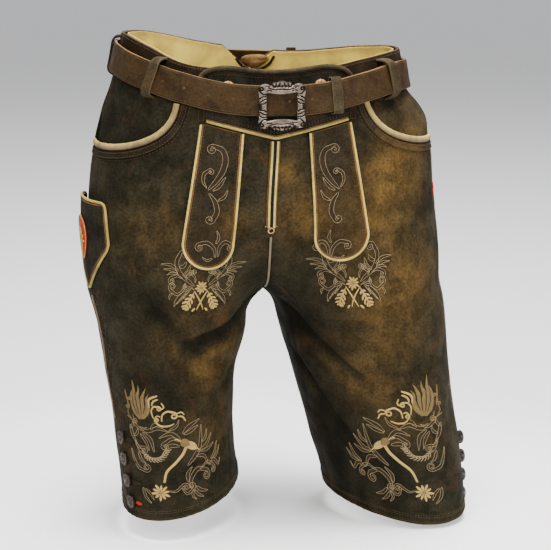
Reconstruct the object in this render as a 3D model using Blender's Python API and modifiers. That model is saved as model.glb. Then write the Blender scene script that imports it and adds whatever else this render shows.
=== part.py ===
"""Lederhosen: knee-length leather breeches, worn open as on a standing figure.

Metres, +Z up, front towards -Y, the wearer's left towards +X.  The origin is the
centre of the waist ring, at the height of the belt's middle line.

The leather is one smooth surface, given by sections: a torso outline for each height
and an ellipse for each leg, which melt into each other at the fork.  Every piece is a
wall, a strip or a cord that is laid out on that surface.
"""

import functools
import math

import bmesh
import bpy
import numpy as np
from mathutils import Matrix, Vector
from mathutils.bvhtree import BVHTree

# ---------------------------------------------------------------- driving sizes

LEATHER = 0.0018           # wall of the body leather
GAP = 0.0003               # gap between two pieces that touch
SEAM = 0.0008              # gap in a seam that a piping or a fold covers
LIFT = 0.0005              # gap under a piece that lies flat on a panel
RIGHT = -1                 # the wearer's right, towards -X
LEFT = 1                   # the wearer's left, towards +X
SIDES = ((RIGHT, "right"), (LEFT, "left"))
QUARTER = math.pi / 2

# Torso outline.  Columns: height, half width right and left, depth front and back.
TORSO = (
    (-0.290, 0.1890, 0.2050, 0.118, 0.118),
    (-0.250, 0.1968, 0.2036, 0.124, 0.128),
    (-0.205, 0.1985, 0.2014, 0.129, 0.138),
    (-0.165, 0.1965, 0.1986, 0.131, 0.142),
    (-0.130, 0.1940, 0.1964, 0.131, 0.141),
    (-0.095, 0.1895, 0.1936, 0.129, 0.136),
    (-0.060, 0.1820, 0.1862, 0.126, 0.129),
    (-0.045, 0.1778, 0.1788, 0.124, 0.125),
    (-0.030, 0.1722, 0.1672, 0.122, 0.121),
    (0.000, 0.1630, 0.1600, 0.118, 0.114),
    (0.045, 0.1540, 0.1530, 0.113, 0.109),
)
TORSO_POWER = 2.25         # 2 is an ellipse, more is squarer

# Leg sections.  Columns: height, centre x and y, half width, half depth, how far the
# ellipse leans outwards, and the turn of the side seam in degrees.
LEGS = {
    RIGHT: (
        (-0.560, -0.0925, 0.000, 0.0700, 0.0970, 0.28, 42),
        (-0.490, -0.0937, 0.000, 0.0700, 0.0970, 0.28, 47),
        (-0.440, -0.0990, 0.000, 0.0698, 0.0985, 0.24, 52.3),
        (-0.390, -0.1023, 0.001, 0.0714, 0.1010, 0.18, 57.8),
        (-0.345, -0.1045, 0.002, 0.0760, 0.1060, 0.12, 62),
        (-0.300, -0.1020, 0.003, 0.0848, 0.1120, 0.06, 65),
        (-0.278, -0.1036, 0.003, 0.0877, 0.1150, 0.03, 66.5),
        (-0.252, -0.1010, 0.003, 0.0975, 0.1180, 0.00, 68.5),
        (-0.225, -0.0995, 0.003, 0.1015, 0.1200, 0.00, 71),
        (-0.150, -0.0980, 0.003, 0.1030, 0.1240, 0.00, 80.5),
        (-0.095, -0.0950, 0.003, 0.1000, 0.1210, 0.00, 88),
        (0.050, -0.0800, 0.003, 0.0900, 0.1100, 0.00, 88),
    ),
    LEFT: (
        (-0.560, 0.1590, -0.004, 0.0780, 0.0900, 0.30, 79),
        (-0.490, 0.1552, -0.003, 0.0784, 0.0910, 0.30, 80),
        (-0.440, 0.1452, -0.002, 0.0831, 0.0945, 0.26, 81),
        (-0.390, 0.1350, 0.000, 0.0862, 0.0990, 0.20, 82),
        (-0.345, 0.1262, 0.002, 0.0902, 0.1050, 0.13, 84),
        (-0.300, 0.1179, 0.003, 0.0955, 0.1110, 0.06, 86),
        (-0.278, 0.1142, 0.003, 0.0973, 0.1150, 0.03, 88),
        (-0.252, 0.1047, 0.003, 0.1018, 0.1180, 0.00, 89),
        (-0.225, 0.1025, 0.003, 0.1045, 0.1200, 0.00, 90),
        (-0.150, 0.1000, 0.003, 0.1050, 0.1240, 0.00, 89),
        (-0.095, 0.0960, 0.003, 0.1010, 0.1210, 0.00, 88),
        (0.050, 0.0800, 0.003, 0.0900, 0.1100, 0.00, 88),
    ),
}
FORK_LOW, FORK_HIGH = -0.266, -0.135     # the legs melt into the torso between these
FORK_ROW = 0.515           # the panels' row that runs through the fork
FLY_SHIFT = -0.005         # the middle seam drifts to the right below the fly's top

# Hems.  Columns: centre x, height there, rise per metre along X and along Y, and how
# strongly the outer side curls up.
HEMS = {RIGHT: (-0.0950, -0.4908, 0.113, 0.089, 0.0),
        LEFT: (0.1580, -0.5125, -0.133, 0.077, 1.6)}

# Round the waist.  Columns: azimuth in degrees, height of the rim, height of the
# belt's middle line, distance of the belt's inner face from the leather.
WAIST = (
    (-180, 0.0030, -0.0165, 0.0030),
    (-150, 0.0150, -0.0110, 0.0030),
    (-120, 0.0320, 0.0050, 0.0030),
    (-95, 0.0385, 0.0115, 0.0032),
    (-80, 0.0405, 0.0118, 0.0046),
    (-65, 0.0345, 0.0055, 0.0068),
    (-45, 0.0180, -0.0075, 0.0070),
    (-25, 0.0125, -0.0180, 0.0070),
    (0, 0.0080, -0.0215, 0.0070),
    (25, 0.0110, -0.0198, 0.0070),
    (45, 0.0175, -0.0120, 0.0070),
    (60, 0.0205, -0.0070, 0.0052),
    (90, 0.0178, -0.0120, 0.0024),
    (120, 0.0095, -0.0150, 0.0026),
    (150, 0.0010, -0.0185, 0.0030),
    (180, 0.0030, -0.0165, 0.0030),
)
WAISTBAND_TALL, WAISTBAND_THICK = 0.040, 0.0036
LINING_IN, LINING_THICK, LINING_TALL = 0.0058, 0.0010, 0.095
NOTCH_WIDE, NOTCH_DEEP = 15.0, 0.022     # the V at the back: degrees each way, metres

# Slanting pocket mouths.  Columns: azimuth of the front end, height at the side seam.
MOUTHS = {RIGHT: (44.5, -0.0865), LEFT: (44.5, -0.0860)}
MOUTH_POWER = 2.5
FACING_IN, FACING_THICK = 0.0030, 0.0014
ROLL_WIDE, ROLL_THICK = 0.0082, 0.0042   # the cream roll round a pocket mouth
CORD = 0.0017              # radius of the cream piping
BAND_WIDE, BAND_THICK = 0.0080, 0.0010   # the stitched band below the roll

# Top edge of the bib, x and height.
BIB_TOP = (
    (-0.0810, -0.0050), (-0.0795, 0.0020), (-0.0740, 0.0085), (-0.0640, 0.0125),
    (-0.0480, 0.0138), (-0.0220, 0.0105), (0.0030, 0.0090), (0.0280, 0.0105),
    (0.0560, 0.0132), (0.0700, 0.0112), (0.0800, 0.0065), (0.0860, -0.0010),
    (0.0875, -0.0060),
)
V_TIP = -0.0625            # height of the bib's point
V_ENDS = {RIGHT: (0.0740, -0.0436), LEFT: (0.0810, -0.0450)}     # x and height
WELT = 0.0028              # radius of the rolled edge on the bib
BIB_THICK = 0.0016
CORNER_WIDE, CORNER_TALL, CORNER_THICK = 0.0060, 0.0130, 0.0010

# Hanging tabs.  Inner and outer x at the top and where the rounding starts, its
# height, and the height of the lowest point.
TABS = {RIGHT: (0.0340, 0.0790, 0.0465, 0.1010, -0.1780, -0.2065),
        LEFT: (0.0375, 0.0830, 0.0440, 0.1040, -0.1720, -0.2010)}
TAB_THICK = 0.0015

FLY_TOP, FLY_BOTTOM = -0.0655, -0.1600
FLY_CORD, FLY_HALF = 0.0016, 0.0030      # radius, and distance from the middle
RING_RADIUS, RING_WIRE = 0.0032, 0.0008

# Sheath on the right leg: turns of its front, point and back, how much its mouth is
# narrower in front, heights of its mouth, shoulders and point, how far it stands off.
SHEATH_TURNS, SHEATH_LEAN = (48, 72, 96), 6
SHEATH_TOP, SHEATH_SHOULDER, SHEATH_POINT = -0.1450, -0.1900, -0.2440
SHEATH_OPEN, SHEATH_WALL = 0.0070, 0.0020

BUTTON_RADIUS = 0.0080
# Leg buttons.  Columns: height of the top one, step, turns of the top and bottom ones.
BUTTONS = {RIGHT: (-0.4125, 0.0245, 47, 42), LEFT: (-0.4390, 0.0235, 77, 82)}
BIB_BUTTON_X, BIB_BUTTON_HEIGHT, BIB_BUTTON_RADIUS = 0.0505, -0.0075, 0.0075

BELT_WIDE, BELT_THICK = 0.0330, 0.0035
BELT_START, BELT_END = 7.5, 360 + 63     # azimuths of its two ends, in degrees
BUCKLE_X, BUCKLE_HEIGHT = 0.0052, -0.0255
BUCKLE_WIDE, BUCKLE_TALL = 0.0515, 0.0480
BUCKLE_THICK, BUCKLE_OUT = 0.0030, 0.0166
WINDOW_WIDE, WINDOW_TALL = 0.0330, 0.0310
KEEPER_AZIMUTH, KEEPER_THICK, KEEPER_ROOM = 29.5, 0.0014, 0.0025
STRAP_WIDE, STRAP_THICK, STRAP_LIFT = 0.0110, 0.0018, 0.0009
# Belt loops: azimuth in degrees, and how far each stands off the belt.
LOOPS = ((-56.5, 0.0036), (-98, 0.0024), (-155, 0.0032), (155, 0.0032), (105, 0.0024),
         (58, 0.0034))

# Gusset in the back notch: half width, half depth and half height, how many degrees it
# is off the middle, its height; the thong's radius and its line round the gusset, in
# degrees and metres from the gusset's middle.
GUSSET_SIZE, GUSSET_OFF, GUSSET_HEIGHT = (0.0160, 0.0038, 0.0085), 4.0, -0.0087
THONG = 0.0015
THONG_LINE = ((-11.5, 0.0045), (-9, -0.0035), (-6, -0.0085), (-2.5, -0.0112),
              (1, -0.0115), (5, -0.0095), (8.5, -0.0040), (11, 0.0030))

# Soft troughs and ridges.  Columns: side, turn and height of each end, width, depth.
FOLDS = (
    (RIGHT, -56, -0.266, -18, -0.335, 0.011, 0.0050),
    (RIGHT, -60, -0.300, -30, -0.352, 0.012, -0.0025),
    (RIGHT, -22, -0.330, 8, -0.372, 0.013, 0.0030),
    (RIGHT, 20, -0.300, 48, -0.420, 0.016, 0.0025),
    (RIGHT, 150, -0.240, 215, -0.300, 0.014, 0.0050),
    (RIGHT, 140, -0.330, 200, -0.380, 0.015, 0.0035),
    (LEFT, -52, -0.266, 6, -0.352, 0.013, 0.0050),
    (LEFT, -62, -0.300, 18, -0.420, 0.014, 0.0045),
    (LEFT, -48, -0.290, 10, -0.385, 0.014, -0.0030),
    (LEFT, -70, -0.345, -10, -0.462, 0.014, 0.0035),
    (LEFT, 45, -0.395, 78, -0.372, 0.013, 0.0040),
    (LEFT, 150, -0.235, 214, -0.298, 0.014, 0.0050),
    (LEFT, 145, -0.320, 205, -0.392, 0.015, 0.0035),
)


# ---------------------------------------------------------------- the surface

def mix(a, b, share):
    return a + (b - a) * share


def ease(value, low, high):
    """Smooth step from 0 below low to 1 above high."""
    share = min(max((value - low) / (high - low), 0.0), 1.0)
    return share * share * (3 - 2 * share)


def slopes_of(table):
    heights = np.array([row[0] for row in table])
    return [np.gradient(np.array([row[i] for row in table]), heights)
            for i in range(len(table[0]))]


SLOPES = {id(table): slopes_of(table) for table in (TORSO, LEGS[RIGHT], LEGS[LEFT], WAIST)}


def section(table, height):
    """One row of a table, read smoothly between its rows."""
    height = min(max(height, table[0][0]), table[-1][0] - 1e-9)
    i = 0
    while table[i + 1][0] <= height:
        i += 1
    step = table[i + 1][0] - table[i][0]
    t = (height - table[i][0]) / step
    bend = SLOPES[id(table)]
    row = []
    for k in range(1, len(table[0])):
        a, b = table[i][k], table[i + 1][k]
        rise_a, rise_b = bend[k][i] * step, bend[k][i + 1] * step
        row.append(a + t * (rise_a + t * (3 * (b - a) - 2 * rise_a - rise_b
                                          + t * (2 * (a - b) + rise_a + rise_b))))
    return row


def torso_reach(x, y, dx, dy, height):
    """Distance from (x, y) along (dx, dy) to the torso outline."""
    right, left, front, back = section(TORSO, height)
    reach = 0.5
    for _ in range(9):
        px, py = x + dx * reach, y + dy * reach
        wide = left if px > 0 else right
        deep = back if py > 0 else front
        share_x, share_y = abs(px) / wide, abs(py) / deep
        over = share_x ** TORSO_POWER + share_y ** TORSO_POWER - 1
        rise = TORSO_POWER * (share_x ** (TORSO_POWER - 1) * math.copysign(dx, px * dx) / wide
                              + share_y ** (TORSO_POWER - 1) * math.copysign(dy, py * dy) / deep)
        reach -= over / rise
    return reach


def fold(side, turn, height):
    """Depth of the folds at a point of the leather."""
    depth = 0.0
    for fold_side, turn_a, low_a, turn_b, low_b, wide, deep in FOLDS:
        if fold_side != side:
            continue
        radius = 0.10
        ax, ay = math.radians(turn_a) * radius, low_a
        bx, by = math.radians(turn_b) * radius, low_b
        px, py = turn * radius, height
        length = math.hypot(bx - ax, by - ay)
        along = ((px - ax) * (bx - ax) + (py - ay) * (by - ay)) / length ** 2
        across = ((px - ax) * (by - ay) - (py - ay) * (bx - ax)) / length
        fade = ease(along, -0.15, 0.3) * (1 - ease(along, 0.65, 1.15))
        depth += deep * fade * math.exp(-(across / wide) ** 2)
    return depth


def shape(side, turn, height):
    """Outer face of the leather, seen from a leg's centre.

    The turn is 0 towards the front, a quarter turn outwards and half a turn behind.
    """
    x, y, wide, deep, lean, _ = section(LEGS[side], height)
    dx, dy = side * math.sin(turn), -math.cos(turn)
    tilt = -side * lean
    square = ((dx / wide) ** 2 - 2 * tilt * dx * dy / (wide * deep) + (dy / deep) ** 2)
    reach = math.sqrt((1 - tilt * tilt) / square)
    share = ease(height, FORK_LOW, FORK_HIGH)
    if share > 0:
        reach = mix(reach, torso_reach(x, y, dx, dy, height), share)
    reach -= fold(side, turn, height)
    return Vector((x + dx * reach, y + dy * reach, height))


def middle_x(height):
    """The middle seam's x."""
    return FLY_SHIFT * ease(-height, 0.05, 0.15) * (1 - 0.7 * ease(-height, 0.17, 0.25))


def outward(side, turn, height):
    step, rise = 0.02, 0.002
    along = shape(side, turn + step, height) - shape(side, turn - step, height)
    up = shape(side, turn, height + rise) - shape(side, turn, height - rise)
    return along.cross(up).normalized() * side


def skin(side, turn, height, out=0.0):
    """A point at a distance outside the leather, kept on its own side of the fork."""
    point = shape(side, turn, height) + outward(side, turn, height) * out
    middle = middle_x(height)
    point.x = middle + side * max(side * (point.x - middle), GAP / 2)
    return point


def find(test, low, high):
    """Where a rising test turns positive."""
    for _ in range(30):
        middle = (low + high) / 2
        low, high = (low, middle) if test(middle) > 0 else (middle, high)
    return (low + high) / 2


def front_turn(x, height):
    """Side and turn of the front point with this x and height."""
    side = LEFT if x >= 0 else RIGHT
    turn = find(lambda t: shape(side, t, height).x * side - abs(x), -QUARTER, QUARTER)
    return side, turn


def on_front(x, height, out=0.0):
    side, turn = front_turn(x, height)
    return shape(side, turn, height) + outward(side, turn, height) * out


def waist_shape(azimuth, height):
    dx, dy = math.sin(azimuth), -math.cos(azimuth)
    reach = torso_reach(0, 0, dx, dy, height)
    return Vector((dx * reach, dy * reach, height))


def on_waist(azimuth, height, out=0.0):
    """A point round the torso: azimuth 0 in front, a quarter turn at the left side."""
    step = 0.02
    along = waist_shape(azimuth + step, height) - waist_shape(azimuth - step, height)
    up = waist_shape(azimuth, height + 0.004) - waist_shape(azimuth, height - 0.004)
    return waist_shape(azimuth, height) + along.cross(up).normalized() * out


def waist(azimuth):
    """Heights of the rim and of the belt, and how far out the belt is."""
    return section(WAIST, (math.degrees(azimuth) + 180) % 360 - 180)


def rim_height(azimuth):
    return waist(azimuth)[0]


def waist_seam(azimuth):
    """Height of the seam under the waistband."""
    return rim_height(azimuth) - WAISTBAND_TALL


def notch(azimuth):
    """Depth of the V at the back of the waistband."""
    off = (180 - abs(math.degrees(azimuth))) / NOTCH_WIDE
    return NOTCH_DEEP * max(0.0, 1 - off)


def seam_turn(side, height):
    return math.radians(section(LEGS[side], height)[5])


# ---------------------------------------------------------------- making pieces

def collection(name):
    made = bpy.data.collections.new(name)
    bpy.context.scene.collection.children.link(made)
    return made


def finish(name, colour, roughness=0.8, metallic=0.0):
    material = bpy.data.materials.new(name)
    material.use_nodes = True
    shader = material.node_tree.nodes["Principled BSDF"]
    shader.inputs["Base Color"].default_value = (*colour, 1)
    shader.inputs["Roughness"].default_value = roughness
    shader.inputs["Metallic"].default_value = metallic
    return material


def steps(count, start=0.0, end=1.0):
    return [mix(start, end, i / count) for i in range(count + 1)]


def round_steps(count):
    """Shares from 0 to 1 that crowd towards both ends, for a rounded outline."""
    return [(1 - math.cos(math.pi * i / count)) / 2 for i in range(count + 1)]


def add_object(name, data, material, turned=None):
    data.materials.append(material)
    piece = bpy.data.objects.new(name, data)
    if turned is not None:
        piece.matrix_world = turned
    PARTS.objects.link(piece)
    return piece


def add_mesh(name, mesh, material):
    bmesh.ops.recalc_face_normals(mesh, faces=mesh.faces)
    data = bpy.data.meshes.new(name)
    mesh.to_mesh(data)
    mesh.free()
    data.shade_smooth()
    data.set_sharp_from_angle(angle=math.radians(40))
    return add_object(name, data, material)


def wall(name, place, columns, rows, low, high, material, ring=False):
    """A closed wall between two offsets of one surface: place(u, v, out)."""
    mesh = bmesh.new()
    outer = [[mesh.verts.new(place(u, v, high)) for v in rows] for u in columns]
    inner = [[mesh.verts.new(place(u, v, low)) for v in rows] for u in columns]
    across, up = len(columns), len(rows)
    for i in range(across if ring else across - 1):
        j = (i + 1) % across
        for k in range(up - 1):
            mesh.faces.new((outer[i][k], outer[j][k], outer[j][k + 1], outer[i][k + 1]))
            mesh.faces.new((inner[i][k + 1], inner[j][k + 1], inner[j][k], inner[i][k]))
        for k in (0, up - 1):
            mesh.faces.new((outer[i][k], inner[i][k], inner[j][k], outer[j][k]))
    if not ring:
        for i in (0, across - 1):
            for k in range(up - 1):
                mesh.faces.new((outer[i][k], outer[i][k + 1], inner[i][k + 1], inner[i][k]))
    return add_mesh(name, mesh, material)


def strip(name, centres, outs, profile, material):
    """A solid strip along a line: the profile is (across, out) from each centre."""
    mesh = bmesh.new()
    loops = []
    last = len(centres) - 1
    for i, (centre, out) in enumerate(zip(centres, outs)):
        along = (centres[min(i + 1, last)] - centres[max(i - 1, 0)]).normalized()
        across = along.cross(out).normalized()
        loops.append([mesh.verts.new(centre + across * a + out * b) for a, b in profile])
    sides = len(profile)
    for here, there in zip(loops, loops[1:]):
        for k in range(sides):
            mesh.faces.new((here[k], here[(k + 1) % sides],
                            there[(k + 1) % sides], there[k]))
    mesh.faces.new(loops[0])
    mesh.faces.new(loops[-1])
    return add_mesh(name, mesh, material)


def beside(points, outs, distance, closed=False):
    """The line moved sideways on its surface, to the left of its way seen from outside."""
    moved = []
    count = len(points)
    for i, (point, out) in enumerate(zip(points, outs)):
        near = [k % count if closed else min(max(k, 0), count - 1) for k in (i - 1, i + 1)]
        sides = [out.cross(b - a).normalized()
                 for a, b in ((points[near[0]], point), (point, points[near[1]]))
                 if (b - a).length > 0]
        middle = sum(sides, Vector()).normalized()
        moved.append(point + middle * distance / max(middle.dot(sides[0]), 0.4))
    return moved


def box_profile(wide, low, high):
    return ((-wide / 2, low), (wide / 2, low), (wide / 2, high), (-wide / 2, high))


def oval_profile(wide, low, high, sides=10):
    middle, tall = (low + high) / 2, high - low
    return [(math.cos(a) * wide / 2, middle + math.sin(a) * tall / 2)
            for a in steps(sides, 0, 2 * math.pi)[:-1]]


def cord(name, points, radius, material, resolution=1, closed=False):
    """A round cord through the points, with filled ends."""
    curve = bpy.data.curves.new(name, "CURVE")
    curve.dimensions = "3D"
    curve.bevel_depth = radius
    curve.bevel_resolution = resolution
    curve.use_fill_caps = not closed
    spline = curve.splines.new("POLY")
    spline.points.add(len(points) - 1)
    spline.use_cyclic_u = closed
    for spot, point in zip(spline.points, points):
        spot.co = (*point, 1)
    return add_object(name, curve, material)


def turned_piece(name, profile, place, out, material, sides=14):
    """A turned piece: its profile runs from the top's middle down its outer side."""
    mesh = bmesh.new()
    ring = [mesh.verts.new((radius, 0, height)) for radius, height in profile]
    for a, b in zip(ring, ring[1:]):
        mesh.edges.new((a, b))
    data = bpy.data.meshes.new(name)
    mesh.to_mesh(data)
    mesh.free()
    facing = out.to_track_quat("Z", "Y").to_matrix().to_4x4()
    facing.translation = place
    piece = add_object(name, data, material, facing)
    screw = piece.modifiers.new("turn", "SCREW")
    screw.steps = screw.render_steps = sides
    screw.use_merge_vertices = True
    screw.merge_threshold = 0.0001
    screw.use_smooth_shade = True
    return piece


# ---------------------------------------------------------------- leather panels

def mouth_height(side, azimuth):
    """Upper edge of the front panel along the pocket mouth, at an azimuth."""
    start, low = MOUTHS[side]
    top = waist_seam(math.radians(start) * side)
    off = (90 - abs(math.degrees(azimuth))) / (90 - start)
    if off >= 1:
        return None
    return top - (top - low) * (1 - max(off, 0.0) ** MOUTH_POWER) ** (1 / MOUTH_POWER)


def inner_turn(side, height, behind):
    """Turn of a panel's inner edge: the inseam, or above the fork the middle seam."""
    inseam = 3 * QUARTER if behind else -QUARTER
    front = math.pi if behind else 0.0
    edge = middle_x(height) * side + GAP / 2
    if shape(side, inseam, height).x * side >= edge:
        return inseam - math.copysign(GAP / 2 / 0.09, inseam)
    if behind:
        return find(lambda t: edge - shape(side, t, height).x * side, front, inseam)
    return find(lambda t: shape(side, t, height).x * side - edge, inseam, front)


def hem_height(side, turn):
    x, height, rise_x, rise_y, curl = HEMS[side]
    point = shape(side, turn, height)
    off = point.x - x
    return height + rise_x * off + rise_y * point.y + curl * max(side * off, 0) ** 2


def turn_at(side, behind, u, height):
    """Turn of a panel's point: u is 0 at the side seam and 1 at the inner seam."""
    inseam = 3 * QUARTER if behind else -QUARTER
    away = SEAM / 2 / 0.1 * (1 if behind else -1)
    pull = inner_turn(side, height, behind) - inseam
    return mix(seam_turn(side, height) + away, inseam, u) + pull * u * u


@functools.lru_cache(maxsize=None)
def fork_height(side):
    """Where a leg's inner side reaches the middle seam."""
    return find(lambda h: middle_x(h) * side - shape(side, -QUARTER, h).x * side
                + GAP / 2, FORK_LOW - 0.03, FORK_HIGH)


@functools.lru_cache(maxsize=None)
def panel_ends(side, behind, u):
    """Heights of a panel's hem and of its upper edge."""
    top = -0.04
    for _ in range(6):
        point = shape(side, turn_at(side, behind, u, top), top)
        azimuth = math.atan2(point.x, -point.y)
        mouth = None if behind else mouth_height(side, azimuth)
        top = waist_seam(azimuth) - SEAM
        if mouth is not None:
            top = min(top, mouth)
    low = HEMS[side][1]
    for _ in range(4):
        low = hem_height(side, turn_at(side, behind, u, low))
    return low, top


def panel_place(side, behind):
    """Points of a panel: u from the side seam to the inner seam, v from hem to waist."""
    def place(u, v, out):
        low, top = panel_ends(side, behind, u)
        fork = fork_height(side)
        if v < FORK_ROW:
            height = mix(low, fork, v / FORK_ROW)
        else:
            height = mix(fork, top, (v - FORK_ROW) / (1 - FORK_ROW))
        return skin(side, turn_at(side, behind, u, height), height, out)
    return place


def mouth_columns(side):
    """Shares of a front panel's width below its pocket mouth."""
    start = math.radians(MOUTHS[side][0])
    height = waist_seam(side * start)

    def past_start(u):
        point = shape(side, turn_at(side, False, u, height), height)
        return start - abs(math.atan2(point.x, -point.y))
    share = find(past_start, 0, 1)
    crowded = (0, 0.1, 0.21, 0.33, 0.46, 0.59, 0.71, 0.82, 0.91, 0.97, 1)
    return [share * part for part in crowded]


def make_panels():
    rows = [0, 0.02, 0.09, 0.17, 0.25, 0.33, 0.40, 0.455, 0.49, FORK_ROW, 0.53, 0.55,
            0.575, 0.61, 0.65, 0.70, 0.75, 0.80, 0.86, 0.92, 1]
    for side, word in SIDES:
        front = mouth_columns(side)
        front += steps(9, front[-1], 1)[1:]
        wall(f"front_panel_{word}", panel_place(side, False), front, rows,
             -LEATHER, 0, OLIVE)
        wall(f"back_panel_{word}", panel_place(side, True), steps(14), rows,
             -LEATHER, 0, OLIVE)


# ---------------------------------------------------------------- pocket mouths

def make_pockets():
    """The facing under each mouth, the cream roll round it and the band below."""
    for side, word in SIDES:
        start = MOUTHS[side][0]
        place = panel_place(side, False)
        edge = [place(u, 1, 0) for u in mouth_columns(side)]
        outs = [(place(u, 1, 0.01) - p).normalized()
                for u, p in zip(mouth_columns(side), edge)]
        roll = beside(edge, outs, -side * (ROLL_WIDE / 2 + GAP))
        roll[-1] = roll[-1].lerp(roll[-2], 0.2)
        strip(f"pocket_roll_{word}", roll, outs, oval_profile(
            ROLL_WIDE, -LEATHER, ROLL_THICK - LEATHER), CREAM)
        band = beside(edge, outs, side * (BAND_WIDE / 2 + GAP))
        strip(f"pocket_band_{word}", band[:-2], outs[:-2],
              box_profile(BAND_WIDE, LIFT, LIFT + BAND_THICK), BROWN)

        def facing(u, v, out, side=side, start=start):
            degrees = mix(start - 6, 89.6, u)
            azimuth = side * math.radians(degrees)
            below = mouth_height(side, side * math.radians(max(degrees, start + 6)))
            height = mix(below - 0.012, waist_seam(azimuth) - SEAM, v)
            return on_waist(azimuth, height, out)
        wall(f"hip_facing_{word}", facing, steps(12), steps(7),
             -FACING_IN - FACING_THICK, -FACING_IN, DARK)


# ---------------------------------------------------------------- waist

def make_waistband():
    for side, word in SIDES:
        for where, first, last in (("front", 0.1, 89.9), ("back", 90.1, 179.9)):
            def band(u, v, out, side=side, first=first, last=last):
                azimuth = side * math.radians(mix(first, last, u))
                height = mix(waist_seam(azimuth), rim_height(azimuth) - notch(azimuth), v)
                return on_waist(azimuth, height, out)
            columns = steps(14)
            if where == "back":
                columns.insert(-1, (90 - NOTCH_WIDE) / 90)
                columns.sort()
            wall(f"waistband_{where}_{word}", band, columns, (0, 0.5, 1),
                 -WAISTBAND_THICK, 0, BROWN)

        def lining(u, v, out, side=side):
            azimuth = side * math.radians(mix(0.1, 179.9, u))
            height = rim_height(azimuth) - 0.0005 - mix(LINING_TALL, notch(azimuth), v)
            return on_waist(azimuth, height, out)
        columns = steps(18)
        columns.insert(-1, (180 - NOTCH_WIDE) / 180)
        columns.sort()
        wall(f"waist_lining_{word}", lining, columns, steps(6),
             -LINING_IN - LINING_THICK, -LINING_IN, LINEN)


def v_line(x):
    """Height of the bib's lower edge."""
    end_x, end_height = V_ENDS[LEFT if x >= 0 else RIGHT]
    return mix(V_TIP, end_height, min(abs(x) / end_x, 1.0))


def make_bib():
    edge = [Vector((x, 0, height)) for x, height in BIB_TOP]
    facing = [Vector((0, -1, 0))] * len(edge)
    top = beside(edge, facing, -WELT - SEAM)

    def bib(u, v, out):
        x, height = top[u].x, top[u].z
        return on_front(x, mix(v_line(x) + CORD + 2 * GAP, height, v), out)
    wall("bib", bib, range(len(top)), steps(5), LIFT, LIFT + BIB_THICK, DARK)

    welt = [on_front(x, height, WELT + LIFT) for x, height in BIB_TOP]
    cord("bib_welt", welt, WELT, BROWN, 2)

    right, left = -V_ENDS[RIGHT][0], V_ENDS[LEFT][0]
    line = steps(6, right, 0)[:-1] + steps(6, 0, left)
    cord("bib_piping", [on_front(x, v_line(x), CORD + LIFT) for x in line], CORD, CREAM)

    for side, word in SIDES:
        middle = side * (V_ENDS[side][0] + CORNER_WIDE / 2 + CORD + GAP)
        low = V_ENDS[side][1]

        def corner(u, v, out, middle=middle, low=low):
            x = middle + (u - 0.5) * CORNER_WIDE
            return on_front(x, low + v * CORNER_TALL, out)
        low_face = LIFT + BIB_THICK + GAP
        wall(f"bib_corner_{word}", corner, (0, 1), (0, 0.5, 1),
             low_face, low_face + CORNER_THICK, BROWN)
        button_x = side * BIB_BUTTON_X
        spot = on_front(button_x, BIB_BUTTON_HEIGHT, LIFT + BIB_THICK + GAP)
        out = (on_front(button_x, BIB_BUTTON_HEIGHT, 0.01) - spot).normalized()
        radius = BIB_BUTTON_RADIUS
        turned_piece(f"bib_button_{word}",
                     ((0, 0.0026), (radius * 0.6, 0.0026), (radius * 0.95, 0.0018),
                      (radius, 0.0008), (radius * 0.9, 0), (0, 0)), spot, out, HORN)


def tab_edges(side, height):
    """Outer and inner x of a hanging tab at a height."""
    inner_top, outer_top, inner_low, outer_low, turn_height, _ = TABS[side]
    share = min((height - V_ENDS[side][1]) / (turn_height - V_ENDS[side][1]), 1.0)
    return side * mix(outer_top, outer_low, share), side * mix(inner_top, inner_low, share)


def tab_point(side, u, v, shrink):
    """x and height on a tab: u from its outer to its inner edge, v from its foot up."""
    turn_height, low = TABS[side][4:]

    def x_at(height):
        outer, inner = tab_edges(side, height)
        return mix(outer - side * shrink, inner + side * shrink, u)
    drop = turn_height - low - shrink
    foot = turn_height - drop * math.sqrt(max(0.0, 1 - (2 * u - 1) ** 2))
    top = V_TIP
    for _ in range(4):
        top = v_line(x_at(top)) - CORD - SEAM - shrink / 2
    height = mix(foot, top, v)
    return x_at(height), height


def make_tabs():
    for side, word in SIDES:
        def tab(u, v, out, side=side):
            return on_front(*tab_point(side, u, v, CORD + GAP), out)
        wall(f"tab_{word}", tab, round_steps(10), (0, 0.1, 0.22, 0.36, 0.52, 0.68, 0.84, 1),
             LIFT, LIFT + TAB_THICK, DARK)

        line = [tab_point(side, 0, v, 0) for v in (0.99, 0.75, 0.5, 0.25)]
        line += [tab_point(side, u, 0, 0) for u in round_steps(10)]
        line += [tab_point(side, 1, v, 0) for v in (0.25, 0.5, 0.75, 0.99)]
        cord(f"tab_piping_{word}", [on_front(*p, CORD + LIFT) for p in line], CORD, CREAM)


# ---------------------------------------------------------------- seams

def make_fly():
    """The two cords of the fly, the dark strip behind them, the ring below."""
    heights = steps(6, FLY_TOP, FLY_BOTTOM)
    for side, word in SIDES:
        line = [on_front(middle_x(h) + side * FLY_HALF, h, FLY_CORD + LIFT) for h in heights]
        cord(f"fly_piping_{word}", line, FLY_CORD, CREAM)

    low = FLY_BOTTOM - 0.004
    out = on_front(middle_x(low), low, 0.01) - on_front(middle_x(low), low)
    out.normalize()
    across = Vector((1, 0, 0))
    up = out.cross(across)
    middle = on_front(middle_x(low), low, RING_WIRE + LIFT)
    ring = [middle + (across * math.cos(a) + up * math.sin(a)) * RING_RADIUS
            for a in steps(12, 0, 2 * math.pi)[:-1]]
    cord("fly_ring", ring, RING_WIRE, BRASS, closed=True)


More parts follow.
